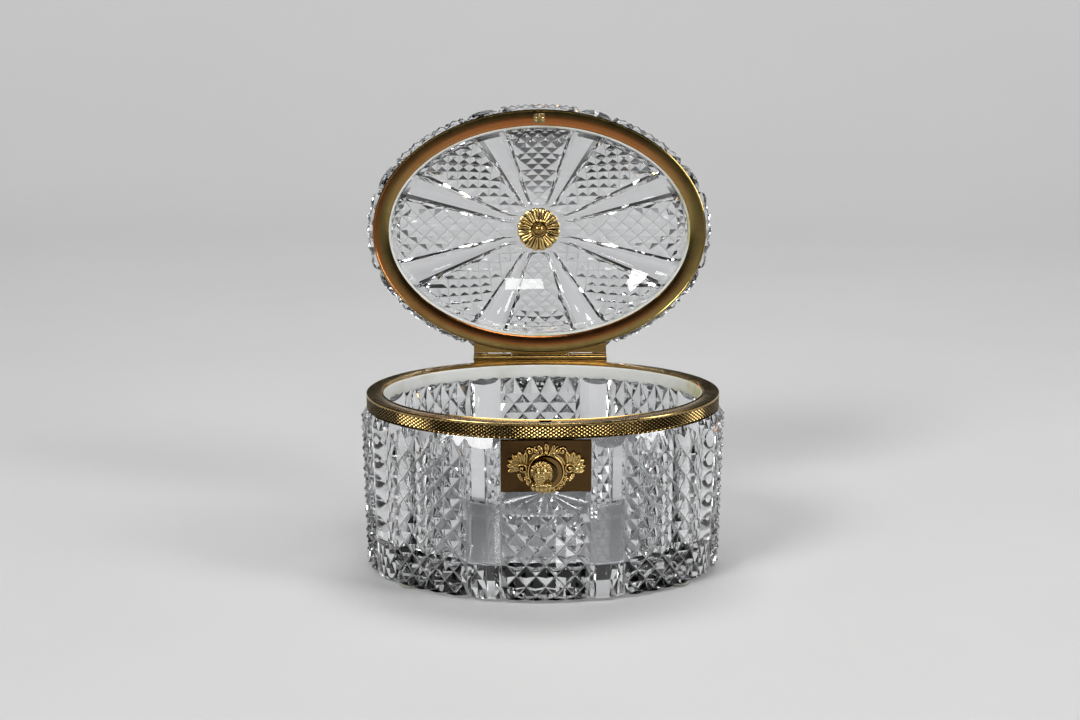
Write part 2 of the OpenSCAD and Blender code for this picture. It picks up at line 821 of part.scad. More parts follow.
lid_crystal_low = lid_z + face_t + cement_t;  // the lip of the lid's crystal, over its bedding
lid_band_top = lid_z + lid_band_h;
lid_shoulder_h = 3;
lid_top = lid_z + lid_h;
ceiling_z = lid_top - dome_t;               // inner ceiling at the middle
ceiling_edge_inset = 15.5;
ceiling_edge_up = 17;                       // where the ceiling starts, above the rim's face
lid_wall_top = lid_z + lid_wall_h;
wall_rows = 2;
dome_rows = 12;
dome_step = 1.5;                            // how far in the dome starts from the wall
dome_power = 0.62;                          // how full the dome is: less is fuller
dome_fade = 0.72;                           // share of the cuts' depth lost towards the middle
boss_inset = 62;                            // the flat round the rosette, as an inset
rosette_flat = 1;                           // depth of the flat that the outer rosette sits on
// The dome's outline: inset and height against the share of the way to the middle
function dome_inset(f) = (dome_step - stand_out) * (1 - f) + boss_inset * f;
function dome_z(f) =
    lid_wall_top + (lid_top - lid_wall_top) * sin(90 * pow(min(f, 1), dome_power));
function lid_cut(row) = [for (c = [0:cols - 1]) cut(c, row)];
function dome_cut(row) = lid_cut(row) * (1 - dome_fade * row / dome_rows);
function dome_slope(f) =
    atan2(dome_inset(f + 0.01) - dome_inset(f - 0.01), dome_z(f + 0.01) - dome_z(f - 0.01));
// A ring of the dome, shrunk towards the middle in one shape, its points moved along the
// dome's own normal
function dome_ring(f, d) =
    let (share = 1 - dome_inset(f) / semi_y)
    let (slope = f < 1 ? dome_slope(f) : 90)
    [for (c = [0:cols - 1])
        let (p = oval_point(col_angle[c], 0) * share + d[c] * cos(slope) * oval_normal(col_angle[c]))
        [p[0], p[1], dome_z(f) + d[c] * sin(slope)]];
function ceiling_ring(f) =
    let (edge_z = lid_z + ceiling_edge_up)
    let (z = edge_z + (ceiling_z - edge_z) * sin(90 * f))
    let (share = ((1 - f) * (semi_y - ceiling_edge_inset) + f * rosette_dia / 2) / semi_y)
    [for (c = [0:cols - 1])
        let (p = oval_point(col_angle[c], 0) * share)
        [p[0], p[1], z]];

module lid_crystal() {
    inner = [for (f = [1, 0.75, 0.5, 0.25, 0]) ceiling_ring(f)];
    low = lid_band_top + lid_shoulder_h;
    wall = concat(
        [shoulder_ring(-stand_out, low, -lid_shoulder_h, lid_cut(0))],
        [for (r = [1:wall_rows])
            ring(-stand_out, low + (lid_wall_top - low) * r / wall_rows, lid_cut(r))]
    );
    dome = [for (r = [1:dome_rows])
        dome_ring(r / dome_rows, dome_cut(r + wall_rows))];
    lip = [
        ring(wall_in, lid_z + bedding_drop, flat_ring),
        ring(lip_in, lid_z + bedding_drop, flat_ring),
        ring(lip_in, lid_crystal_low, flat_ring),
        ring(lip_out, lid_crystal_low, flat_ring),
        ring(lip_out, lid_band_top + fit_gap, flat_ring),
        ring(0, lid_band_top + fit_gap, flat_ring)
    ];
    rings = concat(inner, lip, wall, dome);
    color(crystal)
        opened()
            difference() {
                shell([0, 0, ceiling_z], rings, [0, 0, lid_top], len(inner) + len(lip));
                translate([0, 0, ceiling_z - over])
                    cylinder(d = stud_dia + 2 * free_gap, h = dome_t + 2 * over, $fn = 32);
                translate([0, 0, lid_top - rosette_flat])
                    cylinder(d = rosette_dia + 3, h = rosette_flat + over, $fn = 64);
            }
}

module lid_rim() {
    color(brass)
        opened()
            difference() {
                union() {
                    oval_ring(0, rim_face, lid_z, face_t);
                    oval_ring(0, band_t, lid_z, lid_band_h);
                    oval_ring(rim_face - lip_t, rim_face, lid_z, lip_h);
                }
                keeper_seat(keeper_flange_t + fit_gap, fit_gap);
                rivet_hole();
            }
}

module lid_bedding() {
    color(cement)
        opened()
            union() {
                oval_ring(band_t + fit_gap, rim_face - lip_t - fit_gap, lid_z + face_t + fit_gap,
                    cement_t - 2 * fit_gap);
                oval_ring(band_t + fit_gap, lip_out - fit_gap, lid_z + face_t + fit_gap,
                    lid_band_h - face_t - fit_gap);
                oval_ring(lip_in + fit_gap, rim_face - lip_t - fit_gap, lid_z + face_t + fit_gap,
                    bedding_drop - face_t - 2 * fit_gap);
                oval_ring(lip_in + fit_gap, wall_in - bedding_in, lid_z + lip_h + fit_gap,
                    bedding_drop - lip_h - 2 * fit_gap);
            }
}

flange_front = slot_front - 1.6;            // the keeper's flange, set in the rim's face
flange_back = slot_back + 0.5;
flange_side = 0.6;                          // how far it reaches past the prongs
keeper_rivet_y = flange_front + 1.3;
keeper_rivet_dia = 1.4;

module keeper_seat(h, gap) {
    seat_half = keeper_w / 2 + flange_side + gap;
    translate([-seat_half, flange_front - gap, lid_z - eps])
        cube([2 * seat_half, flange_back - flange_front + 2 * gap, h + eps]);
}

module rivet_hole() {
    translate([0, keeper_rivet_y, lid_z - over])
        cylinder(d = keeper_rivet_dia + 2 * fit_gap, h = face_t + 2 * over, $fn = 24);
}

module prong(x) {
    tip = 0.7;
    translate([x + prong_t, 0, 0])
        rotate([90, 0, -90])
            linear_extrude(height = prong_t)
                polygon([
                    [-prong_back, lid_z + eps],
                    [-prong_back, prong_bottom],
                    [-tooth_front - tip, prong_bottom],
                    [-tooth_front, prong_bottom + tip],
                    [-tooth_front, tooth_top],
                    [-prong_back + neck_t, tooth_top],
                    [-prong_back + neck_t, lid_z + eps]
                ]);
}

module lid_keeper() {
    color(brass)
        opened()
            difference() {
                union() {
                    keeper_seat(keeper_flange_t, 0);
                    prong(prong_gap / 2);
                    prong(-prong_gap / 2 - prong_t);
                }
                rivet_hole();
            }
}

module keeper_rivet() {
    color(brass)
        opened()
            translate([0, keeper_rivet_y, lid_z])
                cylinder(d = keeper_rivet_dia, h = face_t, $fn = 24);
}

// ================= rosettes =================

petal_r = rosette_dia * PI / petals / 2.6;
petal_z = 0.4;                              // height of the petals' axes above the rosette's back
disc_t = 1;
hub_t = 2.4;

// A rosette lying on z = 0, petals up
module rosette() {
    stalk_in = rosette_dia * 0.2;
    difference() {
        union() {
            cylinder(d = rosette_dia * 0.84, h = disc_t, $fn = 64);
            for (i = [0:petals - 1])
                rotate([0, 0, 360 * (i + 0.5) / petals]) {
                    translate([rosette_dia / 2 - petal_r, 0, petal_z])
                        sphere(r = petal_r, $fn = 24);
                    translate([stalk_in, 0, petal_z])
                        rotate([0, 90, 0])
                            cylinder(r = petal_r * 0.8, h = rosette_dia / 2 - stalk_in - petal_r, $fn = 24);
                }
            cylinder(d = rosette_dia * 0.36, h = hub_t, $fn = 40);
        }
        translate([0, 0, -2 * petal_r])
            cylinder(d = rosette_dia * 2, h = 2 * petal_r, $fn = 24);
        translate([0, 0, -over])
            cylinder(d = stud_dia + 2 * fit_gap, h = hub_t + 2 * over, $fn = 32);
    }
}

inner_seat = ceiling_z - washer_t - 2 * fit_gap;
outer_seat = lid_top - rosette_flat + washer_t + 2 * fit_gap;

module inner_rosette() {
    color(brass)
        opened()
            translate([0, 0, inner_seat])
                rotate([180, 0, 0])
                    rosette();
}

module outer_rosette() {
    color(brass)
        opened()
            translate([0, 0, outer_seat])
                rosette();
}

stud_head_r = rosette_dia * 0.15;
stud_top = outer_seat + 5;
stud_low = inner_seat - hub_t - fit_gap;
stud_into_head = 0.8;

module rosette_stud() {
    color(brass)
        opened()
            union() {
                translate([0, 0, stud_low - stud_into_head])
                    cylinder(d = stud_dia, h = stud_top - stud_low + stud_into_head, $fn = 32);
                difference() {
                    translate([0, 0, stud_low])
                        sphere(r = stud_head_r, $fn = 40);
                    translate([0, 0, stud_low])
                        cylinder(r = stud_head_r + over, h = stud_head_r + over, $fn = 24);
                }
            }
}

module rosette_nut() {
    nut_z = outer_seat + hub_t + fit_gap;
    nut_r = stud_head_r + 0.6;
    color(brass)
        opened()
            difference() {
                translate([0, 0, nut_z])
                    difference() {
                        sphere(r = nut_r, $fn = 40);
                        translate([0, 0, -nut_r - over])
                            cylinder(r = nut_r + over, h = nut_r + over, $fn = 24);
                    }
                translate([0, 0, nut_z - over])
                    cylinder(d = stud_dia + 2 * fit_gap, h = stud_top - nut_z + over + fit_gap, $fn = 32);
            }
}

module rosette_washers() {
    washer_d = rosette_dia * 0.8;
    color(leather)
        opened()
            for (z = [ceiling_z - washer_t - fit_gap, lid_top - rosette_flat + fit_gap])
                translate([0, 0, z])
                    difference() {
                        cylinder(d = washer_d, h = washer_t, $fn = 48);
                        translate([0, 0, -over])
                            cylinder(d = stud_dia + 2 * fit_gap, h = washer_t + 2 * over, $fn = 32);
                    }
}

base_crystal();
base_rim();
base_bedding();
foot(-1, -1);  // foot_front_left
foot(1, -1);  // foot_front_right
foot(-1, 1);  // foot_back_left
foot(1, 1);  // foot_back_right
hinge_base_leaf();
hinge_pin();
hinge_lid_leaf();
lock_plate();
escutcheon();
escutcheon_rivets();
button_seat();
lock_case();
latch_pin();
latch_spring();
latch_lever();
button_spring();
push_button();
button_stem();
lid_crystal();
lid_rim();
lid_bedding();
lid_keeper();
keeper_rivet();
inner_rosette();
outer_rosette();
rosette_stud();
rosette_nut();
rosette_washers();
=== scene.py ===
"""Looks of the oval cut-crystal casket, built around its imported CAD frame.

Lengths below are millimetres in the frame's own axes: +X right, +Y back, +Z up, origin on the
table under the middle of the base. Pieces of the lid are drawn shut and then turned open.
"""

import json
from math import atan, atan2, cos, pi, radians, sin, sqrt, tau as TAU

import bmesh
import bpy
import numpy as np
from mathutils import Matrix, Vector

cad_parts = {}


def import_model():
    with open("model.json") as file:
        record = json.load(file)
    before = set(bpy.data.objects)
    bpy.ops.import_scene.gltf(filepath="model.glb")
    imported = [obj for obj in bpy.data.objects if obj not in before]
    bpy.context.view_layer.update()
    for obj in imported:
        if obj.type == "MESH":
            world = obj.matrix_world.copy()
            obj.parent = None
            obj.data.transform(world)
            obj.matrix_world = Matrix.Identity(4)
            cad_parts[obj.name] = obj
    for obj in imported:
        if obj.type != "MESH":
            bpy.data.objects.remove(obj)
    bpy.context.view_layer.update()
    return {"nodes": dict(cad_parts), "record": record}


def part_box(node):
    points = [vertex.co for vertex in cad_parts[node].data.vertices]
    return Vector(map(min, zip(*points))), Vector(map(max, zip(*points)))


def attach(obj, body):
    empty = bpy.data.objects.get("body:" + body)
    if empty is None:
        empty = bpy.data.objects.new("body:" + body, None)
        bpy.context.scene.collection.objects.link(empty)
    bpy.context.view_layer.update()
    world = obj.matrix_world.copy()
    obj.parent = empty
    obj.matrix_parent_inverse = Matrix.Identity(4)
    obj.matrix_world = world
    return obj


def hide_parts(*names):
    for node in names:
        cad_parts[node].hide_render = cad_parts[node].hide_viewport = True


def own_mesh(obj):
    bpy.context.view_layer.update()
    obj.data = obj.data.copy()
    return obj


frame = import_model()

MM = 0.001

# ---- sizes that the pieces share with the CAD ----
SEMI_X, SEMI_Y = 95.0, 69.0
BASE_H = 97.0
RIM_GAP = 0.3
RIM_FACE = 9.2
FACE_T = 2.0
BAND_T = 1.8
BAND_H = 8.2
LID_BAND_H = 5.4
LIP_H = 3.2
STAND_OUT = 3.2
TAPER = 1.9
WALL_IN = 10.0
FLOOR_T = 15.0
RIB_W = 18.6
RIB_H = 2.8
CUT_DEPTH = 2.8
SHOULDER_H = 5.0
LID_H = 38.0
LID_WALL_H = 15.0
DOME_T = 8.0
FOOT_H = 2.2
OPEN_ANGLE = 98.0
BAND_BOTTOM = BASE_H - BAND_H
CEMENT_T = 1.0
LIP_OUT = BAND_T + 1.6
LIP_IN = RIM_FACE - 1.6
BEDDING_DROP = LIP_H + 3.0
CUT_BOTTOM = FOOT_H + 1.2
CUT_TOP = BAND_BOTTOM - SHOULDER_H
BASE_ROWS = 14
LID_Z = BASE_H + RIM_GAP
LID_TOP = LID_Z + LID_H
CEILING_Z = LID_TOP - DOME_T
HINGE_Y = SEMI_Y + 3.4
HINGE_Z = BASE_H + RIM_GAP / 2
PLATE_FRONT = -70.2
PLATE_BACK = -68.6
PLATE_W, PLATE_TOP, PLATE_BOTTOM = 46.4, 88.75, 61.35
FAN_LEN = 11.5           # the plain slope with the fan of rays, below the plate
BUTTON_Z = 72.35
STUD_R = 2.0
WASHER_T = 0.8
FLAT_DROP = 1.0          # how far the lid's flat round the outer rosette lies below its top
CASE_HALF, CASE_BACK = 15.05, -60.9      # the room cut out for the lock case
CLEAR = 0.05             # keeps two faces from lying in one plane

# ---- the camera, at the photograph's viewing angle ----
CAM_TARGET = (-1.58, 0.0, 113.64)
CAM_AZIMUTH, CAM_ELEVATION = -1.203, 13.685
CAM_DISTANCE = 1148.6
CAM_LENS = 71.29

# ---- the pads under the base: centre, and (radius, height) from the floor up ----
PAD_PLACE = (71.0, 37.5)
PAD_PROFILE = ((5.5, 0.0), (5.95, 0.2), (6.25, 0.75), (6.15, 1.5), (5.6, 2.15))


# ======== oval ========

ARC_STEPS = 3600
_t = (np.arange(ARC_STEPS) + 0.5) * TAU / ARC_STEPS
_speed = np.hypot(SEMI_X * np.sin(_t), SEMI_Y * np.cos(_t)) * TAU / ARC_STEPS
ARC_TABLE = np.concatenate([[0.0], np.cumsum(_speed)])
ARC_TOTAL = float(ARC_TABLE[-1])


def angle_at(s):
    """Ellipse angle, in radians, at arc length s from +X."""
    return np.interp(np.mod(s, ARC_TOTAL), ARC_TABLE, np.arange(ARC_STEPS + 1) * TAU / ARC_STEPS)


def oval_point(t, inset=0.0):
    return (SEMI_X - inset) * np.cos(t), (SEMI_Y - inset) * np.sin(t)


def oval_normal(t):
    nx, ny = SEMI_Y * np.cos(t), SEMI_X * np.sin(t)
    length = np.hypot(nx, ny)
    return nx / length, ny / length


def opened(points):
    """Turns points of the shut lid to where the open lid rests."""
    points = np.array(points, float).reshape(-1, 3)
    a = -radians(OPEN_ANGLE)
    y, z = points[:, 1] - HINGE_Y, points[:, 2] - HINGE_Z
    out = points.copy()
    out[:, 1] = HINGE_Y + y * cos(a) - z * sin(a)
    out[:, 2] = HINGE_Z + y * sin(a) + z * cos(a)
    return out


# ======== meshes ========

def linked(name, data):
    obj = bpy.data.objects.new(name, data)
    bpy.context.scene.collection.objects.link(obj)
    return obj


def set_attribute(mesh, name, values):
    layer = mesh.attributes.new(name, "FLOAT", "POINT")
    layer.data.foreach_set("value", np.array(values, np.float32))


def make_object(name, points, faces, sharp=None, attributes=None, lid=False):
    """A mesh object from points in millimetres, shaded smooth with sharp edges past an angle."""
    points = opened(points) if lid else np.array(points, float)
    mesh = bpy.data.meshes.new(name)
    mesh.from_pydata((points * MM).tolist(), [], faces)
    for key, values in (attributes or {}).items():
        set_attribute(mesh, key, values)
    mesh.validate()
    bm = bmesh.new()
    bm.from_mesh(mesh)
    bmesh.ops.recalc_face_normals(bm, faces=bm.faces)
    bm.to_mesh(mesh)
    bm.free()
    obj = linked(name, mesh)
    shade(obj, sharp)
    return obj


def ring_faces(per, rings, start=0, loop=False):
    """Quads between rings of so many points each, one after the other from point start. The first
    and last ring are closed by flat faces, or joined to each other where loop is set."""
    faces = []
    for r in range(rings if loop else rings - 1):
        a, b = start + r * per, start + (r + 1) % rings * per
        faces += [(a + i, a + (i + 1) % per, b + (i + 1) % per, b + i) for i in range(per)]
    ends = () if loop else (start, start + (rings - 1) * per)
    return faces + [tuple(range(end, end + per)) for end in ends]


def shade(obj, sharp):
    mesh = obj.data
    mesh.polygons.foreach_set("use_smooth", [sharp is not None] * len(mesh.polygons))
    if sharp is not None:
        mesh.set_sharp_from_angle(angle=radians(sharp))
    mesh.update()


def evaluated(obj):
    bpy.context.view_layer.update()
    graph = bpy.context.evaluated_depsgraph_get()
    return bpy.data.meshes.new_from_object(obj.evaluated_get(graph))


def cut_with(obj, cutters):
    """Takes the cutters away from obj, one exact boolean each."""
    for cutter in cutters:
        mod = obj.modifiers.new("cut", "BOOLEAN")
        mod.operation = "DIFFERENCE"
        mod.solver = "EXACT"
        mod.object = cutter
    old, obj.data = obj.data, evaluated(obj)
    obj.modifiers.clear()
    bpy.data.meshes.remove(old)
    for cutter in cutters:
        bpy.data.objects.remove(cutter)
    obj.data.validate()


def mesh_arrays(mesh):
    points, normals = (np.empty((len(mesh.vertices), 3)) for _ in range(2))
    mesh.vertices.foreach_get("co", points.ravel())
    mesh.vertices.foreach_get("normal", normals.ravel())
    edges = np.empty((len(mesh.edges), 2), np.int64)
    mesh.edges.foreach_get("vertices", edges.ravel())
    return points, normals, edges


def averaged(values, edges, rounds):
    """Each point's values mixed with its neighbours', so many times over."""
    ends = np.concatenate([edges[:, 0], edges[:, 1]])
    others = np.concatenate([edges[:, 1], edges[:, 0]])
    flat = values.reshape(len(values), -1)
    count = np.maximum(np.bincount(ends, minlength=len(flat)), 1)
    for _ in range(rounds):
        total = [np.bincount(ends, column[others], len(flat)) for column in flat.T]
        flat = 0.5 * flat + 0.5 * (np.array(total) / count).T
    return flat.reshape(values.shape)


def mark_relief(obj, scale, rounds=12):
    """Stores how far each point stands out of its surroundings: 0 in a hollow, 1 on a ridge. The
    brass materials darken low values as painted shade.
    """
    points, normals, edges = mesh_arrays(obj.data)
    depth = ((points - averaged(points, edges, rounds)) * normals).sum(axis=1) / MM
    value = np.clip(0.5 + averaged(depth, edges, 1) / scale, 0, 1)
    set_attribute(obj.data, "relief", value)


def ball_mesh(detail):
    """Points and faces of a unit ball."""
    bm = bmesh.new()
    bmesh.ops.create_icosphere(bm, subdivisions=detail, radius=1.0)
    bm.verts.ensure_lookup_table()
    points = np.array([v.co for v in bm.verts])
    faces = np.array([[v.index for v in f.verts] for f in bm.faces])
    bm.free()
    return points, faces


def sculpt(balls, voxel, smooth):
    """One closed skin round ellipsoids (centre, radii, turn about Z), all in millimetres."""
    fine, coarse = ball_mesh(4), ball_mesh(3)
    points, faces, start = [], [], 0
    for center, radii, turn in balls:
        ball, triangles = fine if max(radii) > 1 else coarse
        spin = np.array(Matrix.Rotation(radians(turn), 3, "Z"))
        points.append((ball * radii) @ spin.T + center)
        faces.append(triangles + start)
        start += len(ball)
    mesh = bpy.data.meshes.new("lump")
    mesh.from_pydata(np.concatenate(points).tolist(), [], np.concatenate(faces).tolist())
    obj = linked("lump", mesh)
    mod = obj.modifiers.new("skin", "REMESH")
    mod.mode = "VOXEL"
    mod.voxel_size = voxel
    mod = obj.modifiers.new("soften", "SMOOTH")
    mod.factor = 0.5
    mod.iterations = smooth
    skin = evaluated(obj)
    points = mesh_arrays(skin)[0]
    faces = [tuple(f.vertices) for f in skin.polygons]
    bpy.data.objects.remove(obj)
    bpy.data.meshes.remove(skin)
    return points, faces


def finish_piece(obj, body, name, slot_name, material):
    """Puts a piece on its body, in place of the solid of that name, which it hides. slot_name is not
    used.
    """
    obj.data.materials.clear()
    obj.data.materials.append(material)
    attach(obj, body)
    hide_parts(name)


# ======== the cut crystal ========

SECTORS = 8
SECTOR_LEN = ARC_TOTAL / SECTORS
PANEL_HALF = (SECTOR_LEN - RIB_W) / 2
FRONT_SECTOR = 6
RIB_NODES = 15
RIB_FLANK = 3.0          # width of the groove's face on the rib's side
RIB_EDGE = 0.8           # depth of the rib's edge above that face
EDGE_DEPTH = 0.15        # depth of the plain edge beside the lid's lattice


def rib_depth(u):
    """Depth of a rib's surface at u, from -1 to 1 across it between its grooves' bottoms."""
    flank = RIB_FLANK / (RIB_W / 2)
    inner = max(0.0, 1 - abs(u)) / flank
    if inner < 1:
        return RIB_H + (RIB_EDGE - RIB_H) * inner
    return RIB_EDGE * (abs(u) / (1 - flank)) ** 2


RIB_U = np.linspace(-1, 1, RIB_NODES) * (1 - RIB_FLANK / (RIB_W / 2))


class Crystal:
    """A closed shell of rings. Each of a ring's 8 sectors is a panel of (key, t, point) and a
    rib's points. t runs across the panel, and the key is a number in the lattice, L or R at the
    ribs, or l or r where the lattice ends short of them, by margin."""

    def __init__(self, half_cells, margin=0.0):
        self.half_cells, self.margin = half_cells, margin
        self.points, self.grooves, self.faces, self.rings = [], [], [], []

    def add(self, place, share=1.0, row=0, depth=1.0, rib=1.0, cut=True):
        """place(angle, depth) gives a point. row is the diamonds' row, share the ring's size, and
        depth and rib are shares of the diamonds' and the ribs' full depth."""
        half, margin = PANEL_HALF * share, self.margin * share
        ring = []
        for sector, half_cell in enumerate(self.half_cells):
            def node(t, d, groove=0.0):
                angle = float(angle_at(sector * SECTOR_LEN + t / share))
                return self.point(place(angle, d), groove)

            last = int((half - margin - 0.001) / half_cell + (0.0 if margin else 0.02))
            nodes = [(j, j * half_cell, (j + row) % 2 * CUT_DEPTH) for j in range(-last, last + 1)]
            if margin and cut:
                nodes = [("l", margin - half, EDGE_DEPTH), *nodes, ("r", half - margin, EDGE_DEPTH)]
            if not cut or (cut == "front" and sector == FRONT_SECTOR):
                nodes = [(key, t, 0.0) for key, t, d in nodes]
            beside = RIB_H * rib / depth if cut else 0.0
            nodes = [("L", -half, beside), *nodes, ("R", half, beside)]
            panel = [(key, t, node(t, d * depth, float(d > 0.95 * CUT_DEPTH)))
                     for key, t, d in nodes]
            ribs = [node((PANEL_HALF + RIB_W / 2 * (1 + u)) * share, rib_depth(u) * rib * bool(cut))
                    for u in RIB_U]
            ring.append((panel, ribs))
        self.rings.append((ring, row))

    def point(self, point, groove=0.0):
        self.points.append(point)
        self.grooves.append(groove)
        return len(self.points) - 1

    def quad(self, a, b, c, d, along_bd):
        """Corners a b on the lower ring and d c above them, split from b to d or from a to c."""
        self.faces += [(a, b, d), (b, c, d)] if along_bd else [(a, b, c), (a, c, d)]

    def stitch(self, low, high):
        """Triangles between two runs of (t, point), both from the same side to the other."""
        i = k = 0
        while i < len(low) - 1 or k < len(high) - 1:
            if k == len(high) - 1 or (i < len(low) - 1 and low[i + 1][0] <= high[k + 1][0]):
                self.faces.append((low[i][1], low[i + 1][1], high[k][1]))
                i += 1
            else:
                self.faces.append((low[i][1], high[k + 1][1], high[k][1]))
                k += 1

    def join(self, low_ring, high_ring):
        (low, row), (high, _) = low_ring, high_ring
        for sector in range(SECTORS):
            panels = low[sector][0], high[sector][0]
            a, b = ({key: p for key, t, p in panel if isinstance(key, int)} for panel in panels)
            both = min(max(a), max(b))
            for j in range(-both, both):
                self.quad(a[j], a[j + 1], b[j + 1], b[j], (j + row) % 2 == 0)
            for side in (-1, 1):
                self.stitch(*[[(t / panel[-1][1], p) for key, t, p in panel
                               if (key * side >= both if isinstance(key, int) else t * side > 0)]
                              for panel in panels])
            a, b = [[ring[sector][0][-1][2], *ring[sector][1], ring[(sector + 1) % SECTORS][0][0][2]]
                    for ring in (low, high)]
            for i in range(len(a) - 1):
                self.quad(a[i], a[i + 1], b[i + 1], b[i], False)

    def cap(self, ring, point, flip):
        centre = self.point(point)
        around = [p for panel, ribs in ring[0] for p in [*(p for key, t, p in panel), *ribs]]
        for a, b in zip(around, around[1:] + around[:1]):
            self.faces.append((b, a, centre) if flip else (a, b, centre))

    def skin(self, closed=False):
        for low, high in zip(self.rings, self.rings[1:] + self.rings[:1] * closed):
            self.join(low, high)


def at_inset(inset, z, shoulder=None):
    """A placing function: a ring at an inset and height, cut inwards along the oval's normal.
    With a shoulder, deeper cuts end further along its rise."""
    def place(t, d):
        x, y = oval_point(t, inset)
        nx, ny = oval_normal(t)
        rise = shoulder * min(d / STAND_OUT, 0.9) if shoulder else 0.0
        return (x - nx * d, y - ny * d, z + rise)
    return place


def clear_fan(obj):
    """Takes the groove marks off the corners that the cutters made round the plate's seat."""
    points = mesh_arrays(obj.data)[0] / MM
    marks = np.empty(len(points), np.float32)
    layer = obj.data.attributes["groove"]
    layer.data.foreach_get("value", marks)
    fan = (np.abs(points[:, 0]) < FLAT_HALF - 0.6) & (points[:, 1] < 0)
    marks[fan & (points[:, 2] > PLATE_BOTTOM - FAN_LEN - 3.0)] = 0
    layer.data.foreach_set("value", marks)


def side_inset(z):
    return TAPER * (CUT_TOP - z) / (CUT_TOP - CUT_BOTTOM) - STAND_OUT


def base_crystal():
    shell = Crystal([(PANEL_HALF - 2.6) / 4] * SECTORS)
    row_h = (CUT_TOP - CUT_BOTTOM) / BASE_ROWS
    plain_row = round((PLATE_BOTTOM - FAN_LEN - CUT_BOTTOM) / row_h) - 1
    shell.add(at_inset(side_inset(CUT_BOTTOM) + 0.84, FOOT_H), row=1, depth=0.5)
    for row in range(BASE_ROWS):
        z = CUT_BOTTOM + row * row_h
        shell.add(at_inset(side_inset(z), z), row=row, cut="front" if row > plain_row else True)
    shell.add(at_inset(-STAND_OUT, CUT_TOP, SHOULDER_H), row=BASE_ROWS, cut="front")
    band, seat, floor = BAND_BOTTOM - CLEAR, BASE_H - FACE_T - CEMENT_T, FOOT_H + FLOOR_T
    plain = [
        (0.0, band), (LIP_OUT, band), (LIP_OUT, seat), (LIP_IN, seat),
        (LIP_IN, BASE_H - BEDDING_DROP), (WALL_IN, BASE_H - BEDDING_DROP),
        (WALL_IN + 0.6, floor + 4.0), (WALL_IN + 0.9, floor + 2.2), (WALL_IN + 2.2, floor + 0.7),
        (WALL_IN + 4.2, floor),
    ]
    for inset, z in plain:
        shell.add(at_inset(inset, z), cut=False)
    shell.skin()
    shell.cap(shell.rings[0], (0, 0, FOOT_H), True)
    shell.cap(shell.rings[-1], (0, 0, floor), False)
    return shell


# The lid's outline: rings shrink towards the middle in one shape as the height rises
DOME_POWER = 0.62
BOSS_INSET = 62.0
LID_ROWS = 18
LATTICE_EDGE = 2.2       # plain edge beside the lid's lattice
LATTICE_DEPTH = 0.62     # depth of the lid's lattice, as a share of the base's
FLAT_R = 14.0            # the flat round the outer rosette
LAST_SHARE = 0.225
CEILING_STEPS = (1.0, 0.92, 0.84, 0.76, 0.68, 0.6, 0.52, 0.44, 0.36, 0.28, 0.2, 0.13, 0.07,
                 0.03, 0.0)


def dome_profile(f):
    inset = -STAND_OUT + (BOSS_INSET + STAND_OUT) * f
    low = LID_Z + LID_WALL_H
    z = low + (LID_TOP - low) * np.sin(pi / 2 * np.minimum(f, 1.0) ** DOME_POWER)
    return inset, z


def dome_rows():
    """Shares of the way to the middle, at equal lengths along the dome's own curve."""
    f = np.linspace(0, 1, 2001)
    inset, z = dome_profile(f)
    f_last = (SEMI_Y * (1 - LAST_SHARE) + STAND_OUT) / (BOSS_INSET + STAND_OUT)
    steps = np.hypot(np.diff(inset) * 1.15, np.diff(z))
    length = np.concatenate([[0], np.cumsum(steps)])
    total = np.interp(f_last, f, length)
    return [float(np.interp(total * i / LID_ROWS, length, f)) for i in range(LID_ROWS + 1)], total


def on_dome(f):
    inset, z = dome_profile(f)
    i0, z0 = dome_profile(max(f - 0.004, 0.0005))
    i1, z1 = dome_profile(f + 0.004)
    slope = atan2(i1 - i0, z1 - z0)
    share = 1 - inset / SEMI_Y

    def place(t, d):
        x, y = oval_point(t)
        nx, ny = oval_normal(t)
        out = d * cos(slope)
        return (x * share - nx * out, y * share - ny * out, z - d * sin(slope))
    return place, min(share, 1.0)


def on_circle(r, z):
    return lambda t, d: (r * cos(t), r * sin(t), z), LAST_SHARE


def on_ceiling(f):
    edge_inset, edge_z = 15.5, LID_Z + 17.0
    z = edge_z + (CEILING_Z - edge_z) * sin(pi / 2 * f)
    share = ((1 - f) * (SEMI_Y - edge_inset) + f * 12.5) / SEMI_Y

    def place(t, d):
        x, y = oval_point(t)
        return (x * share, y * share, z)
    return place, share


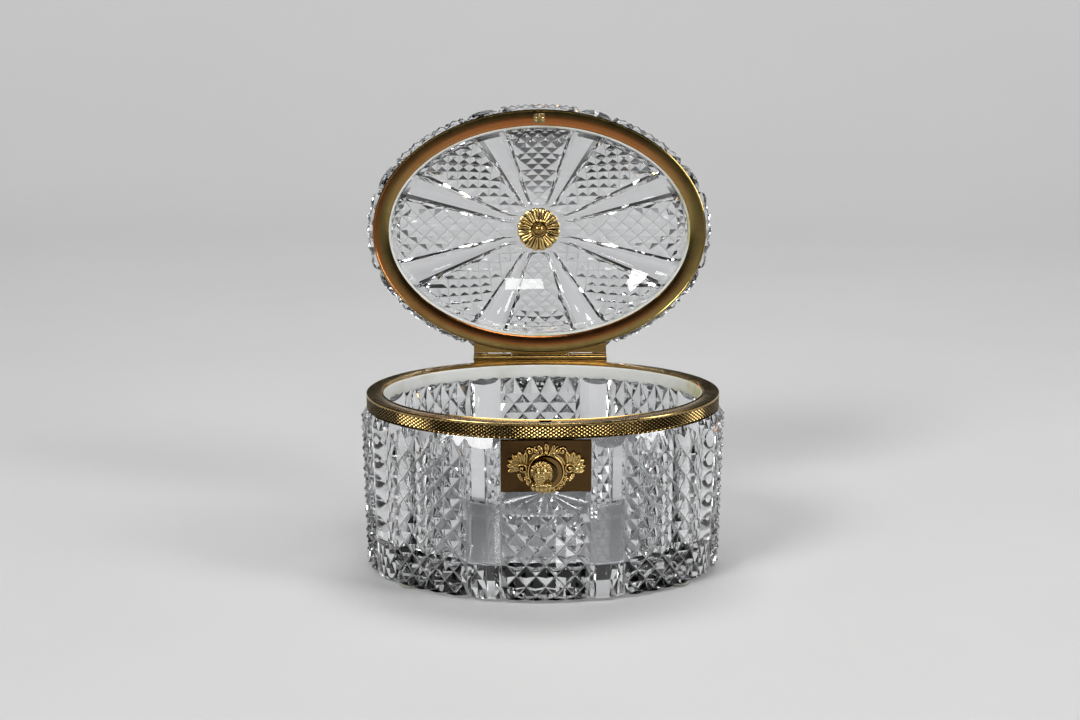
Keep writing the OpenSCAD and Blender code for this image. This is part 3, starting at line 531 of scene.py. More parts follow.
def lid_crystal():
    rows, total = dome_rows()
    widths = [0.5 * (1 + wide) for wide in (1.17, 1.06, 0.92, 1.06) * 2]   # sector by sector
    half_cells = [total / LID_ROWS * wide for wide in widths]
    shell = Crystal(half_cells, LATTICE_EDGE)
    shell.add(*on_circle(STUD_R + 0.3, CEILING_Z), cut=False)
    for f in CEILING_STEPS:
        shell.add(*on_ceiling(f), cut=False)
    seat, band = FACE_T + CEMENT_T, LID_BAND_H + CLEAR
    plain = [
        (WALL_IN + 3.2, 15.2), (WALL_IN + 1.0, 12.0), (WALL_IN, BEDDING_DROP),
        (LIP_IN, BEDDING_DROP), (LIP_IN, seat), (LIP_OUT, seat), (LIP_OUT, band), (0.0, band),
    ]
    for inset, z in plain:
        shell.add(at_inset(inset, LID_Z + z), cut=False)
    low, wall_top = LID_Z + LID_BAND_H + 3.0, LID_Z + LID_WALL_H
    shell.add(at_inset(-STAND_OUT, low, -3.0), depth=LATTICE_DEPTH, rib=0.95)
    shell.add(at_inset(-STAND_OUT, (low + wall_top) / 2), row=1, depth=LATTICE_DEPTH, rib=0.95)
    for i, f in enumerate(rows):
        fade = i / LID_ROWS
        depth = LATTICE_DEPTH * (1 - 0.35 * fade)
        shell.add(*on_dome(f), row=i + 2, depth=depth, rib=0.95 - 0.55 * fade)
    flat_z = LID_TOP - FLAT_DROP
    for r, z in ((FLAT_R, LID_TOP - 0.25), (FLAT_R - 0.1, flat_z), (STUD_R + 0.3, flat_z)):
        shell.add(*on_circle(r, z), cut=False)
    shell.skin(closed=True)
    return shell


# ---- the cutters for the lock plate's seat, the fan of rays and the lock case ----

def prism(name, outline, depth, place):
    """A prism from an outline (u, v), drawn from w = 0 to depth; place(u, v, w) gives a point."""
    points = [place(u, v, w) for w in (0.0, depth) for u, v in outline]
    return make_object(name, points, ring_faces(len(outline), 2))


def box_cutter(name, low, high):
    (x0, y0, z0), (x1, y1, z1) = low, high
    outline = [(x0, y0), (x1, y0), (x1, y1), (x0, y1)]
    return prism(name, outline, z1 - z0, lambda u, v, w: (u, v, z0 + w))


FLAT_HALF = PLATE_W / 2 + 0.3
FLAT_BACK = PLATE_BACK + CLEAR
FLAT_BOTTOM = PLATE_BOTTOM - 0.3
FAN_RISE = FLAT_BACK + SEMI_Y + STAND_OUT - 0.4
FAN_WING = 8.0
FAN_OVER = 1.4           # the slope's cutter is this much longer than the fan
RAY_TURNS = (-76, -62, -43, -21, 0, 21, 43, 62, 76)
RAY_HALF = 1.7           # half the width of a ray at its lower end
RAY_DEEP = 1.1           # and its depth there


def fan_place(turn=0.0):
    lean = atan(FAN_RISE / FAN_LEN)
    a = radians(turn)

    def place(u, v, w):
        u, v = u * cos(a) - v * sin(a), u * sin(a) + v * cos(a)
        y = FLAT_BACK - w * cos(lean) + v * sin(lean)
        z = FLAT_BOTTOM + v * cos(lean) + w * sin(lean)
        return (u, y, z)
    return place


def plate_cutters():
    low, high = (-FLAT_HALF, FLAT_BACK - 12, FLAT_BOTTOM), (FLAT_HALF, FLAT_BACK, FLAT_BOTTOM + 60)
    wide, low_end = FLAT_HALF + FAN_WING * FAN_OVER, -FAN_LEN * FAN_OVER
    slope = [(-FLAT_HALF, 1), (-FLAT_HALF, 0), (-wide, low_end), (wide, low_end),
             (FLAT_HALF, 0), (FLAT_HALF, 1)]
    cutters = [box_cutter("pocket", low, high), prism("slope", slope, 12.0, fan_place())]
    for turn in RAY_TURNS:
        place = fan_place(turn)
        a = radians(abs(turn))
        length = min((FAN_LEN + 1.2) / cos(a), (FLAT_HALF + 1.5) / max(sin(a), 0.01))
        wedge = [(0.0, -RAY_DEEP), (RAY_HALF, 0.6), (-RAY_HALF, 0.6)]
        points = [place(0.0, -0.8, -0.02)] + [place(u, -length, w) for u, w in wedge]
        cutters.append(make_object("ray", points, [(0, 2, 1), (0, 3, 2), (0, 1, 3), (1, 2, 3)]))
    case = box_cutter("case", (-CASE_HALF, -70.6, 64.9), (CASE_HALF, CASE_BACK, 124.9))
    return cutters + [case]


# ======== brass rims and cement ========

COLUMNS = 372            # points round the oval: a multiple of 2, for the knurling
KNURL_DEPTH = 0.5
BASE_KNURLS, BASE_PITCH = 8, 0.92        # rows of the knurling and the height from one to the next
LID_KNURLS, LID_PITCH = 5, 0.85


def sweep(name, z0, rows, sharp, lid=False, cutters=(), copper=None):
    """A ring with the closed outline rows of (inset, z, kind), z from z0 up, swept round the oval.
    Rows of kind "k" are knurled: every other point is sunk, so that they make small pyramids.
    Rows of kind "w" end in scallops."""
    c = np.arange(COLUMNS)
    t = angle_at(c * ARC_TOTAL / COLUMNS)
    nx, ny = oval_normal(t)
    points, relief, warm, parity = [], [], [], []
    for inset, z, *kind in rows:
        knurled = "k" in kind
        shift = sum(p is not None for p in parity)
        parity.append(shift % 2 if knurled else None)
        d = KNURL_DEPTH * ((c + shift) % 2) * knurled
        x, y = oval_point(t, inset)
        z = z0 + z + scallop(c / COLUMNS) * ("w" in kind)
        points += list(zip(x - nx * d, y - ny * d, z))
        # relief is 1, or 0 on the knurling's sunk points, which the brass darkens as painted shade
        relief += list(1 - d / KNURL_DEPTH)
        warm += list(copper(inset, t) if copper else np.zeros(COLUMNS))
    faces = []
    for i, (a, b, e, f) in enumerate(ring_faces(COLUMNS, len(rows), loop=True)):
        row = i // COLUMNS
        if parity[row] is None or parity[(row + 1) % len(rows)] is None:
            faces.append((a, b, e, f))
        elif (i + parity[row]) % 2 == 0:
            faces += [(a, b, f), (b, e, f)]
        else:
            faces += [(a, b, e), (a, e, f)]
    obj = make_object(name, points, faces, None, {"relief": relief, "copper": warm}, lid)
    if cutters:
        cut_with(obj, cutters)
    shade(obj, sharp)
    return obj


def base_rim():
    rows = [(0.2, -BAND_H), (0.05, 0.2 - BAND_H)]
    rows += [(0.02, 0.42 + BASE_PITCH * k - BAND_H, "k") for k in range(BASE_KNURLS)]
    rows += [
        (0.0, -0.9), (0.06, -0.4), (0.22, -0.12), (0.5, 0), (0.9, 0), (3.0, -0.1), (7.7, -0.16),
        (8.1, -0.32), (8.3, -0.14), (8.6, -0.01), (8.95, -0.05), (9.16, -0.3), (9.2, -0.7),
        (9.2, -3.0), (9.05, -LIP_H), (8.2, -LIP_H), (8.2, -FACE_T), (BAND_T, -FACE_T),
        (BAND_T, -BAND_H),
    ]
    slot = box_cutter("slot", (-2.8, -64.75, 94.0), (2.8, -61.65, 98.0))
    return sweep("gilt_base_rim", BASE_H, rows, 28, cutters=[slot])


def lid_copper(inset, t):
    """How strongly the lid rim's colour is mixed towards a copper tone, by inset and by angle round
    the oval.
    """
    if 3.5 < inset < 9.0:
        return 0.85 * np.clip(np.abs(np.sin(t)) ** 0.8 - 0.3, 0, 1) * (1.5 if inset > 4 else 0.7)
    if 0.5 < inset <= 3.5:
        return 0.8 * np.clip(-np.cos(t), 0, 1) ** 3
    return np.zeros(len(t))


def lid_rim():
    rows = [(0.2, LID_BAND_H), (0.05, LID_BAND_H - 0.2)]
    rows += [(0.02, LID_BAND_H - 0.45 - LID_PITCH * k, "k") for k in range(LID_KNURLS)]
    rows += [
        (0.0, 1.25), (0.05, 0.6), (0.22, 0.2), (0.55, 0), (0.95, 0), (1.15, 0.12), (2.6, 0.04),
        (4.6, 0.03), (6.6, 0.1), (8.2, 0.3), (8.9, 0.55), (9.2, 0.9), (9.2, 3.0), (9.05, LIP_H),
        (8.2, LIP_H), (8.2, FACE_T), (BAND_T, FACE_T), (BAND_T, LID_BAND_H),
    ]
    return sweep("gilt_lid_rim", LID_Z, rows, 28, lid=True, copper=lid_copper)


def scallop(share):
    """Uneven lower edge of the cement's film on the crystal's wall."""
    a = share * TAU
    lobes = np.abs(np.sin(36 * a + 1.5 * np.sin(5 * a)))
    return -0.55 * lobes + 0.35 * np.sin(11 * a + 0.6) * np.sin(3 * a) - 0.2 * np.sin(61 * a)


def base_bedding():
    low, top, lip = 0.06 - BEDDING_DROP, -FACE_T - CLEAR, LIP_IN + CLEAR
    rows = [
        (1.85, -BAND_H), (3.35, -BAND_H), (3.35, -2.95), (lip, -2.95), (lip, low), (10.005, low),
        (10.005, low - 1.15, "w"), (10.07, low - 1.0, "w"), (10.14, low + 0.1), (10.05, low + 0.9),
        (9.95, low + 2.0), (9.85, -2.4), (9.7, -1.1), (9.5, -0.7), (9.26, -0.7), (9.26, -3.05),
        (9.08, -3.26), (8.15, -3.26), (8.15, top), (1.85, top),
    ]
    case = box_cutter("case", (-CASE_HALF, -69.0, 87.0), (CASE_HALF, CASE_BACK, 99.0))
    return sweep("cement_base", BASE_H, rows, 50, cutters=[case])


def lid_bedding():
    low, edge, lip = FACE_T + CLEAR, BEDDING_DROP - 0.06, LIP_IN + CLEAR
    rows = [
        (1.85, low), (1.85, LID_BAND_H), (3.35, LID_BAND_H), (3.35, low + 0.9), (lip, low + 0.9),
        (lip, edge), (10.3, edge), (10.35, edge - 1.2), (10.25, 2.0), (10.1, 1.1), (9.8, 0.9),
        (9.26, 0.9), (9.26, 3.05), (9.1, LIP_H + 0.06), (8.15, LIP_H + 0.06), (8.15, low),
    ]
    return sweep("cement_lid", LID_Z, rows, 50, lid=True)


# ======== cast ornament ========

def dome(v):
    """Height of a unit half circle at v, and 0 outside it."""
    return np.sqrt(np.clip(1 - v ** 2, 0, 1))


def leaf(x, z, cx, cz, angle, length, width, high):
    """Height of a leaf that points along angle, with a vein and a lobed edge."""
    a = radians(angle)
    u = ((x - cx) * cos(a) + (z - cz) * sin(a)) / (length / 2)
    across = -(x - cx) * sin(a) + (z - cz) * cos(a)
    half = width / 2 * dome(u) * (1 - 0.35 * u) * (0.84 + 0.16 * np.abs(np.cos(u * 6.4)))
    v = across / np.maximum(half, 0.05)
    body = high * dome(v) * (0.75 + 0.25 * dome(u)) * (1 - 0.3 * np.exp(-(across / 0.28) ** 2))
    body = body * (1 - 0.22 * (0.5 + 0.5 * np.cos(u * 12.8 + np.abs(v) * 2.2)))
    return np.where((np.abs(u) < 1) & (np.abs(v) < 1), body, 0.0)


def bead(x, z, cx, cz, r, high):
    return high * dome(np.hypot(x - cx, z - cz) / r)


def tube(x, z, curve, r, high):
    """Height of a cord of radius r that follows the points of curve."""
    best = np.full_like(x, 1e9)
    for (x0, z0), (x1, z1) in zip(curve, curve[1:]):
        dx, dz = x1 - x0, z1 - z0
        t = np.clip(((x - x0) * dx + (z - z0) * dz) / (dx * dx + dz * dz), 0, 1)
        best = np.minimum(best, np.hypot(x - x0 - t * dx, z - z0 - t * dz))
    return high * dome(best / r)


def scroll(cx, cz, r, start, turns, side):
    """Points of a spiral that winds in from radius r."""
    points = []
    for f in np.linspace(0, 1, 31):
        reach, a = r * (1 - 0.8 * f), radians(start) + turns * TAU * f
        points.append((cx + side * reach * cos(a), cz + reach * sin(a)))
    return points


def lobe(x, z, bx, bz, angle, length, width, low, high):
    """A feather that rises from its root to a rounded, curled tip, with a groove along it."""
    a = radians(angle)
    along = ((x - bx) * cos(a) + (z - bz) * sin(a)) / length
    f = np.clip(along, 0, 1)
    across = (z - bz) * cos(a) - (x - bx) * sin(a) + 0.06 * length * np.sin(f * pi)
    half = width / 2 * (0.45 + 0.55 * np.sin(f * 2.2)) * dome(along ** 3)
    v = across / np.maximum(half, 0.05)
    crest = (low + (high - low) * f ** 1.3) * (0.35 + 0.65 * dome(v))
    crest = crest * (1 - 0.28 * np.exp(-(across / 0.22) ** 2) * (along < 0.86))
    crest = crest * (1 - 0.16 * (0.5 + 0.5 * np.cos(along * 17 + np.abs(v) * 2.4)))
    return np.where((along > 0) & (along < 1) & (np.abs(v) < 1), crest, 0.0)


def flower(x, z, cx, cz, r, high, turn):
    """A small five-petalled flower of the garland."""
    layers = [bead(x, z, cx, cz, r * 0.42, high)]
    for k in range(5):
        a = radians(turn + 72 * k)
        px, pz = cx + r * 0.62 * cos(a), cz + r * 0.62 * sin(a)
        layers.append(bead(x, z, px, pz, r * 0.45, high * 0.8))
    return np.maximum.reduce(layers)


# the feathers of a wing: angle, length and width
WING = ((96, 9.6, 3.5), (74, 9.9, 3.5), (53, 9.9, 3.5), (33, 9.6, 3.4), (14, 9.0, 3.3),
        (-6, 8.2, 3.0))


def ornament_height(x, z):
    """Relief of the cast mount: z is counted from the button's axis."""
    r = np.hypot(x, z)
    layers = [1.5 * dome((r - 8.95) / 0.8), np.where((r > 8.1) & (r < 10.9), 0.55, 0)]
    for s in (-1, 1):
        for k, (angle, length, width) in enumerate(WING):
            a = angle if s > 0 else 180 - angle
            layers.append(lobe(x, z, s * 11.4, 1.3, a, length, width, 0.9, 2.35 - 0.07 * k))
        layers += [
            tube(x, z, scroll(s * 12.0, 1.6, 2.7, 30, 1.3, s), 0.6, 2.1),
            bead(x, z, s * 12.0, 1.6, 0.95, 2.3),
            tube(x, z, scroll(s * 8.3, 11.0, 2.2, 330, 1.3, s), 0.58, 2.2),
            bead(x, z, s * 8.3, 11.0, 0.85, 2.3),
            lobe(x, z, s * 2.0, 9.0, 90 - s * 24, 5.6, 2.8, 1.2, 2.3),
            lobe(x, z, s * 3.6, 8.9, 90 - s * 47, 5.0, 2.6, 1.2, 2.2),
            leaf(x, z, s * 13.0, -3.2, 90 + s * 150, 5.2, 2.5, 1.6),
            bead(x, z, s * 5.6, 13.2, 0.6, 1.9),
        ]
        for k in range(5):
            a = radians(-20 - 15.5 * k)
            layers.append(flower(x, z, s * 10.7 * cos(a), 10.4 * sin(a), 1.55, 1.9, 30 * k))
            b = a - radians(7.7)
            layers.append(bead(x, z, s * 11.0 * cos(b), 10.7 * sin(b), 0.55, 1.5))
    layers += [lobe(x, z, 0.0, 9.2, 90, 6.0, 3.0, 1.3, 2.4), bead(x, z, 0.0, 9.9, 1.25, 2.2)]
    layers += [bead(x, z, s, 9.9, 0.75, 1.9) for s in (-2.0, 2.0)]
    return np.where(r < 8.15, 0.0, np.maximum.reduce(layers))


def blurred(h, times):
    for _ in range(times):
        p = np.pad(h, 1, mode="edge")
        h = (p[1:-1, 1:-1] * 2 + p[:-2, 1:-1] + p[2:, 1:-1] + p[1:-1, :-2] + p[1:-1, 2:]) / 6
    return h


def escutcheon():
    """The cast ornament as a closed relief on the plate's front."""
    step = 0.15
    x, z = np.meshgrid(np.arange(-21.6, 21.6 + step, step), np.arange(-12.4, 16.3, step))
    h = ornament_height(x, z)
    keep = blurred((h > 0.05).astype(float), 1) > 0.3
    keep &= (z < PLATE_TOP - 0.3 - BUTTON_Z) & (np.hypot(x, z) > 8.2)
    h = blurred(h, 1)
    # relief: height above the blurred surroundings; the brass darkens low values as painted shade in
    # the hollows
    relief = np.clip(0.55 + (h - blurred(h, 20)) / 0.9, 0, 1)
    cells = keep[:-1, :-1] & keep[1:, :-1] & keep[:-1, 1:] & keep[1:, 1:]
    used = np.zeros_like(keep)
    for corner in (used[:-1, :-1], used[1:, :-1], used[:-1, 1:], used[1:, 1:]):
        corner |= cells
    count = int(used.sum())
    index = np.zeros(x.shape, int)
    index[used] = np.arange(count)
    high = np.concatenate([np.maximum(h[used], 0.12), np.zeros(count)])
    across, up = np.tile(x[used], 2), np.tile(z[used], 2)
    points = np.stack([across, PLATE_FRONT - 0.02 - high, BUTTON_Z + up], 1)
    front = np.stack([index[:-1, :-1], index[:-1, 1:], index[1:, 1:], index[1:, :-1]], -1)[cells]
    faces = front.tolist() + (front[:, ::-1] + count).tolist()
    edges = {(face[k - 1], face[k]) for face in front.tolist() for k in range(4)}
    faces += [(b, a, a + count, b + count) for a, b in sorted(edges) if (b, a) not in edges]
    values = np.concatenate([relief[used], np.zeros(count)])
    return make_object("cast_ornament", points, faces, 60, {"relief": values})


# ======== button with its little head ========

BUTTON_BACK = -73.1
BUTTON_R = 5.8
BUTTON_T = 2.4
POCKET_R, POCKET_DEEP = 3.6, 1.66
HEAD_CENTER = (-2.5, -78.3, 73.0)
HEAD_SCALE = 1.08
HEAD_TURN = -20.0


def face_balls():
    """A calm child's face of plain proportions, looking along -Y, round the head's centre."""
    balls = [
        ((0, 0.4, 0.9), (3.9, 4.0, 3.9), 0), ((0, -1.3, -0.9), (3.15, 3.0, 3.3), 0),
        ((0, -1.9, -2.6), (2.45, 2.1, 1.7), 0), ((0, -3.4, -3.4), (1.0, 0.8, 0.75), 0),
        ((0, -4.05, -0.45), (0.42, 0.6, 0.95), 0), ((0, -4.5, -1.1), (0.55, 0.5, 0.45), 0),
        ((0, -4.0, -2.05), (0.95, 0.5, 0.28), 0), ((0, -3.9, -2.5), (0.7, 0.5, 0.32), 0),
        ((0, -2.6, 1.3), (2.6, 1.6, 1.5), 0), ((0, 0.4, -4.9), (2.1, 2.1, 2.2), 0),
    ]
    for s in (-1, 1):
        balls += [
            ((1.5 * s, -2.75, -1.55), (1.35, 1.1, 1.35), 0),
            ((1.2 * s, -3.55, 0.25), (1.25, 0.65, 0.42), -12 * s),
            ((1.2 * s, -3.5, -0.42), (0.66, 0.5, 0.4), 0),
            ((0.42 * s, -4.1, -1.25), (0.36, 0.36, 0.3), 0),
            ((3.2 * s, -0.7, -0.9), (0.6, 0.85, 1.05), 0),
        ]
    return balls


def hair_balls():
    """Full curls all over the skull, clear of the face: each a coil of beads round a soft core."""
    balls = []
    count = 64
    for k in range(count):
        z = 1 - 2 * (k + 0.5) / count
        r, turn = sqrt(1 - z * z), pi * (3 - sqrt(5)) * k
        x, y = r * cos(turn), r * sin(turn)
        on_face = y < -0.2 and z < 0.5 and abs(x) < 0.84
        if on_face or z < -0.7:
            continue
        center = Vector((4.15 * x, 0.4 + 4.2 * y, 0.9 + 4.15 * z))
        balls.append((tuple(center), (0.95, 0.95, 0.95), 0))
        normal = Vector((x, y, z))
        side = normal.cross(Vector((0.3, 0.2, 1))).normalized()
        up = normal.cross(side)
        for m in range(7):
            a, reach = 0.9 * m + k, 0.78 - 0.09 * m
            spot = center + side * reach * cos(a) + up * reach * sin(a) + normal * (0.5 + 0.07 * m)
            balls.append((tuple(spot), (0.36, 0.36, 0.36), 0))
    return balls


def drapery_balls():
    """The gathered cloth under the chin."""
    balls = [((0.4, 1.0, -5.2), (4.3, 2.9, 1.7), 0), ((1.0, 2.9, -1.4), (4.4, 2.0, 4.6), 0)]
    for k in range(9):
        a = radians(-112 + 28 * k)
        spot = ((4.1 if k % 2 else 4.6) * sin(a), 0.2 - 3.1 * cos(a), -5.5 - 0.5 * cos(a))
        balls.append((spot, (1.15, 1.2, 1.75), 0))
    for k in range(7):
        a = radians(-84 + 28 * k)
        balls.append(((2.9 * sin(a), -0.4 - 2.6 * cos(a), -4.5), (0.95, 1.0, 0.9), 0))
    return balls


def turned(name, spots, profile, place, per=48, sharp=35, relief=None, lid=False):
    """Closed turned pieces round spots (u, v), their profile as (radius, w)."""
    turns = [TAU * k / per for k in range(per)]
    points, faces = [], []
    for cu, cv in spots:
        faces += ring_faces(per, len(profile), len(points))
        points += [place(cu + r * cos(a), cv + r * sin(a), w) for r, w in profile for a in turns]
    # one relief value for the whole piece, by which the brass darkens it as painted shade
    attributes = {"relief": [relief] * len(points)} if relief is not None else None
    return make_object(name, points, faces, sharp, attributes, lid)


def along_y(u, v, w):
    return (u, w, v)


def upright(u, v, w):
    return (u, v, w)


def rivets():
    a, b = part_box("escutcheon_rivets")
    x, z = b[0] / MM - 0.8, (a[2] + b[2]) / 2 / MM
    profile = [(0.55, b[1] / MM), (0.55, -71.6), (0.8, -71.6), (0.8, -72.1), (0.68, -72.4),
               (0.4, -72.56), (0.1, -72.6)]
    return turned("domed_rivets", [(-x, z), (x, z)], profile, along_y, relief=0.7)


def pad_piece(node, side, end):
    """A soft pad under the base, bulging a little at its waist."""
    spot = (side * PAD_PLACE[0], end * PAD_PLACE[1])
    return turned("pad_" + node, [spot], PAD_PROFILE, upright, sharp=40)


def unit(rows):
    return rows / np.linalg.norm(rows, axis=1)[:, None]


def slab(name, outline, low, high, bevel, place, lid=False, sharp=30):
    """An outline (u, v), drawn from w = low to high with its end edges broken by bevel."""
    outline = np.array(outline, float)
    after = np.roll(outline, -1, 0)
    along = unit(outline - np.roll(outline, 1, 0)) + unit(after - outline)
    along = unit(along)
    area = (outline[:, 0] * after[:, 1] - after[:, 0] * outline[:, 1]).sum()
    inward = np.stack([-along[:, 1], along[:, 0]], 1) * (1 if area > 0 else -1)
    small = outline + inward * bevel
    layers = [(small, low), (outline, low + bevel), (outline, high - bevel), (small, high)]
    points = [place(u, v, w) for ring, w in layers for u, v in ring]
    faces = ring_faces(len(outline), len(layers))
    return make_object(name, points, faces, sharp, lid=lid)


def arc(cx, cy, r, start, end, count):
    """Points of an arc, angles in degrees."""
    turns = np.radians(np.linspace(start, end, count + 1))
    return [(cx + r * cos(a), cy + r * sin(a)) for a in turns]


def keeper():
    """The keeper on the lid: a plate let into the rim and two hooked, bowed prongs."""
    x, y0, y1, r = 3.2, -66.45, -61.05, 0.7
    centers = ((x - r, y1 - r), (r - x, y1 - r), (r - x, y0 + r), (x - r, y0 + r))
    plate = []
    for k, (cx, cy) in enumerate(centers):
        plate += arc(cx, cy, r, 90 * k, 90 * k + 90, 5)
    parts = [slab("keeper_plate", plate, LID_Z - 0.12, LID_Z + 0.9, 0.1, upright, True)]
    hook = [(-61.85, LID_Z - 0.1)] + arc(-62.65, 91.0, 0.8, 0, -90, 5)
    hook += [(-63.4, 90.2)] + arc(-63.7, 90.85, 0.65, -90, -180, 5)
    hook += [(-64.35, 91.5), (-64.05, 91.9), (-63.7, 91.95)]
    hook += arc(-63.45, 92.35, 0.4, -90, 0, 4) + [(-63.05, LID_Z - 0.1)]
    for side in (-1, 1):
        def place(u, v, w):
            bow = 0.16 * sin(pi * (u + 64.35) / 2.5)
            return (side * (w + bow * (1 if w > 1.8 else 0.6)), u, v)
        parts.append(slab("prong", hook, 1.1, 2.5, 0.22, place, True))
    return join("keeper_hooks", parts)


def join(name, parts):
    """Several objects made into one."""
    bm = bmesh.new()
    for part in parts:
        bm.from_mesh(part.data)
        bpy.data.objects.remove(part)
    mesh = bpy.data.meshes.new(name)
    bm.to_mesh(mesh)
    bm.free()
    obj = linked(name, mesh)
    shade(obj, 30)
    return obj


def keeper_rivet():
    profile = [(0.65, LID_Z + 1.9), (0.65, LID_Z - 0.12), (0.6, LID_Z - 0.2), (0.35, LID_Z - 0.27),
               (0.1, LID_Z - 0.29)]
    return turned("keeper_stud", [(0.0, -65.05)], profile, upright, per=24, lid=True)


def push_button():
    head = face_balls() + hair_balls()
    spin = Matrix.Rotation(radians(HEAD_TURN), 4, "Z")
    spun = [(tuple(spin @ Vector(c)), radii, turn + HEAD_TURN) for c, radii, turn in head]
    balls = []
    for c, radii, turn in spun + drapery_balls():
        center = np.multiply(c, HEAD_SCALE) + HEAD_CENTER
        balls.append((tuple(center), tuple(np.multiply(radii, HEAD_SCALE)), turn))
    points, faces = sculpt(balls, 0.11, 4)
    front = BUTTON_BACK - BUTTON_T
    points[:, 1] = np.minimum(points[:, 1], front + 0.3)
    bust = make_object("bust", points, faces, sharp=180)
    mark_relief(bust, 0.34, 16)
    floor_y = BUTTON_BACK - POCKET_DEEP
    profile = [
        (0.02, floor_y), (POCKET_R, floor_y), (POCKET_R, BUTTON_BACK),
        (BUTTON_R - 0.3, BUTTON_BACK),
        (BUTTON_R, BUTTON_BACK - 0.3), (BUTTON_R, front + 0.4), (BUTTON_R - 0.15, front + 0.1),
        (BUTTON_R - 0.5, front), (4.9, front + 0.02), (4.6, front + 0.12), (4.3, front),
        (0.02, front),
    ]
    # a low relief darkens the disc's face: a painted dark reflection
    disc = turned("disc", [(0, BUTTON_Z)], profile, along_y, relief=0.2)
    return join("putto_button", [bust, disc])


def coil():
    """The button's spring: a closed tube round a helix, from the seat's floor into the button."""
    a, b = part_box("button_spring")
    wire, turns, per, sides = 0.5, 3, 20, 8
    reach = b[0] / MM - wire / 2
    start, end = b[1] / MM - wire / 2, a[1] / MM + wire / 2
    points = []
    for f in np.linspace(0, 1, turns * per + 1):
        turn = TAU * turns * f
        for k in range(sides):
            r = reach + wire / 2 * cos(TAU * k / sides)
            y = start + (end - start) * f + wire / 2 * sin(TAU * k / sides)
            points.append((r * cos(turn), y, BUTTON_Z + r * sin(turn)))
    return make_object("button_coil", points, ring_faces(sides, turns * per + 1), 50)


def leaf_spring():
    """The latch's bent strip, drawn as a profile (y, z) and as wide as its solid."""
    a, b = (np.array(corner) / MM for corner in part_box("latch_spring"))
    strip = 0.25
    back = b[1] - strip
    line = [(back - (back - a[1]) * (1 - cos(pi * f)) / 2, a[2] + (b[2] - a[2]) * f)
            for f in np.linspace(0, 1, 15)]
    outline = line + [(y + strip, z) for y, z in reversed(line)]
    return slab("latch_leaf", outline, a[0], b[0], 0.04, lambda u, v, w: (w, u, v))


def squeezed(spring, node):
    """Gives a spring its own copy of its mesh."""
    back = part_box(node)[1][1]
    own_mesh(spring)


def lock_plate():
    """The flat plate, with its edges broken, and the hole that the button's stem runs through."""
    edge = 0.22
    rows = [(0.0, PLATE_BACK), (0.0, PLATE_FRONT + edge), (edge, PLATE_FRONT)]
    points = []
    for inset, y in rows:
        x, top, low = PLATE_W / 2 - inset, PLATE_TOP - inset, PLATE_BOTTOM + inset
        points += [(-x, y, low), (x, y, low), (x, y, top), (-x, y, top)]
    obj = make_object("bronze_plate", points, ring_faces(4, len(rows)))
    ring = [(2.6 * cos(TAU * k / 32), BUTTON_Z + 2.6 * sin(TAU * k / 32)) for k in range(32)]
    depth = PLATE_BACK - PLATE_FRONT + 2
    cut_with(obj, [prism("hole", ring, depth, lambda u, v, w: (u, PLATE_FRONT - 1 + w, v))])
    shade(obj, 20)
    return obj


# ======== rosettes ========

ROSETTE_R = 12.5
PETALS = 16
ROSETTE_RINGS = (STUD_R + CLEAR, 2.3, 3.1, 4.0, 4.15, 4.5, 4.65, 4.8, 5.4, 6.2, 7.2, 8.4, 9.6,
                 10.6, 11.3, 11.8, 12.1, 12.35, ROSETTE_R)
PETAL_POINTS = 14
BOSS_R = 4.9             # the boss in the middle, inside the petals


def rosette(name, z0, up):
    """A rosette of petals with double ridges, on the plane z0, facing up (1) or down (-1)."""
    n = PETALS * PETAL_POINTS
    a = TAU * np.arange(n) / n
    u = np.abs(np.arange(n) % PETAL_POINTS / PETAL_POINTS * 2 - 1)
    # shine, kept in relief, is painted light and shade: lighter on the petals' crests, darker in
    # their grooves, mid on the boss and dark on the flat back
    points, relief = [], []
    for r in ROSETTE_RINGS + (ROSETTE_R, STUD_R + CLEAR):
        if len(points) >= n * len(ROSETTE_RINGS):
            high, shine = u * 0, u * 0 + 0.1
        elif r < BOSS_R:
            high = u * 0 + 2.15 - 1.1 * sin(pi * min(1, max(0, r - 4.1) / 0.8)) ** 2
            shine = u * 0 + 0.6
        else:
            groove = np.exp(-(u / 0.2) ** 2) * min(1, (r - 4.8) / 1.5)
            groove = groove * (1 - 0.55 * max(0, (r - 10.5) / 2))
            body = dome(max(0, r - 5.6) / 7.2)
            high = 0.35 + 1.6 * body * (0.35 + 0.65 * np.sqrt(1 - u ** 3)) - 0.62 * groove * body
            high = np.maximum(high, 0.25)
            shine = 0.15 + 0.85 * (1 - u ** 2) * (1 - 0.8 * groove)
        r = r * (1 - 0.07 * u ** 2.5 * max(0, (r - 8.5) / 4))
        points += list(zip(r * np.cos(a), r * np.sin(a), z0 + up * high))
        relief += list(shine)
    faces = ring_faces(n, len(points) // n, loop=True)
    return make_object(name, points, faces, 55, {"relief": relief}, lid=True)


# ======== materials ========

def new_material(name):
    mat = bpy.data.materials.new(name)
    mat.use_nodes = True
    return mat, mat.node_tree, mat.node_tree.nodes["Principled BSDF"]


def feed(tree, n, **values):
    """Sets a node's settings and sockets, spaces as _, to constants or other nodes' outputs."""
    for key, value in values.items():
        socket = n.inputs.get(key.replace("_", " "))
        if isinstance(value, bpy.types.NodeSocket):
            tree.links.new(value, socket)
        elif socket is None:
            setattr(n, key, value)
        else:
            socket.default_value = value


def node(tree, kind, **values):
    """The outputs of a new node."""
    n = tree.nodes.new("ShaderNode" + kind)
    feed(tree, n, **values)
    return n.outputs


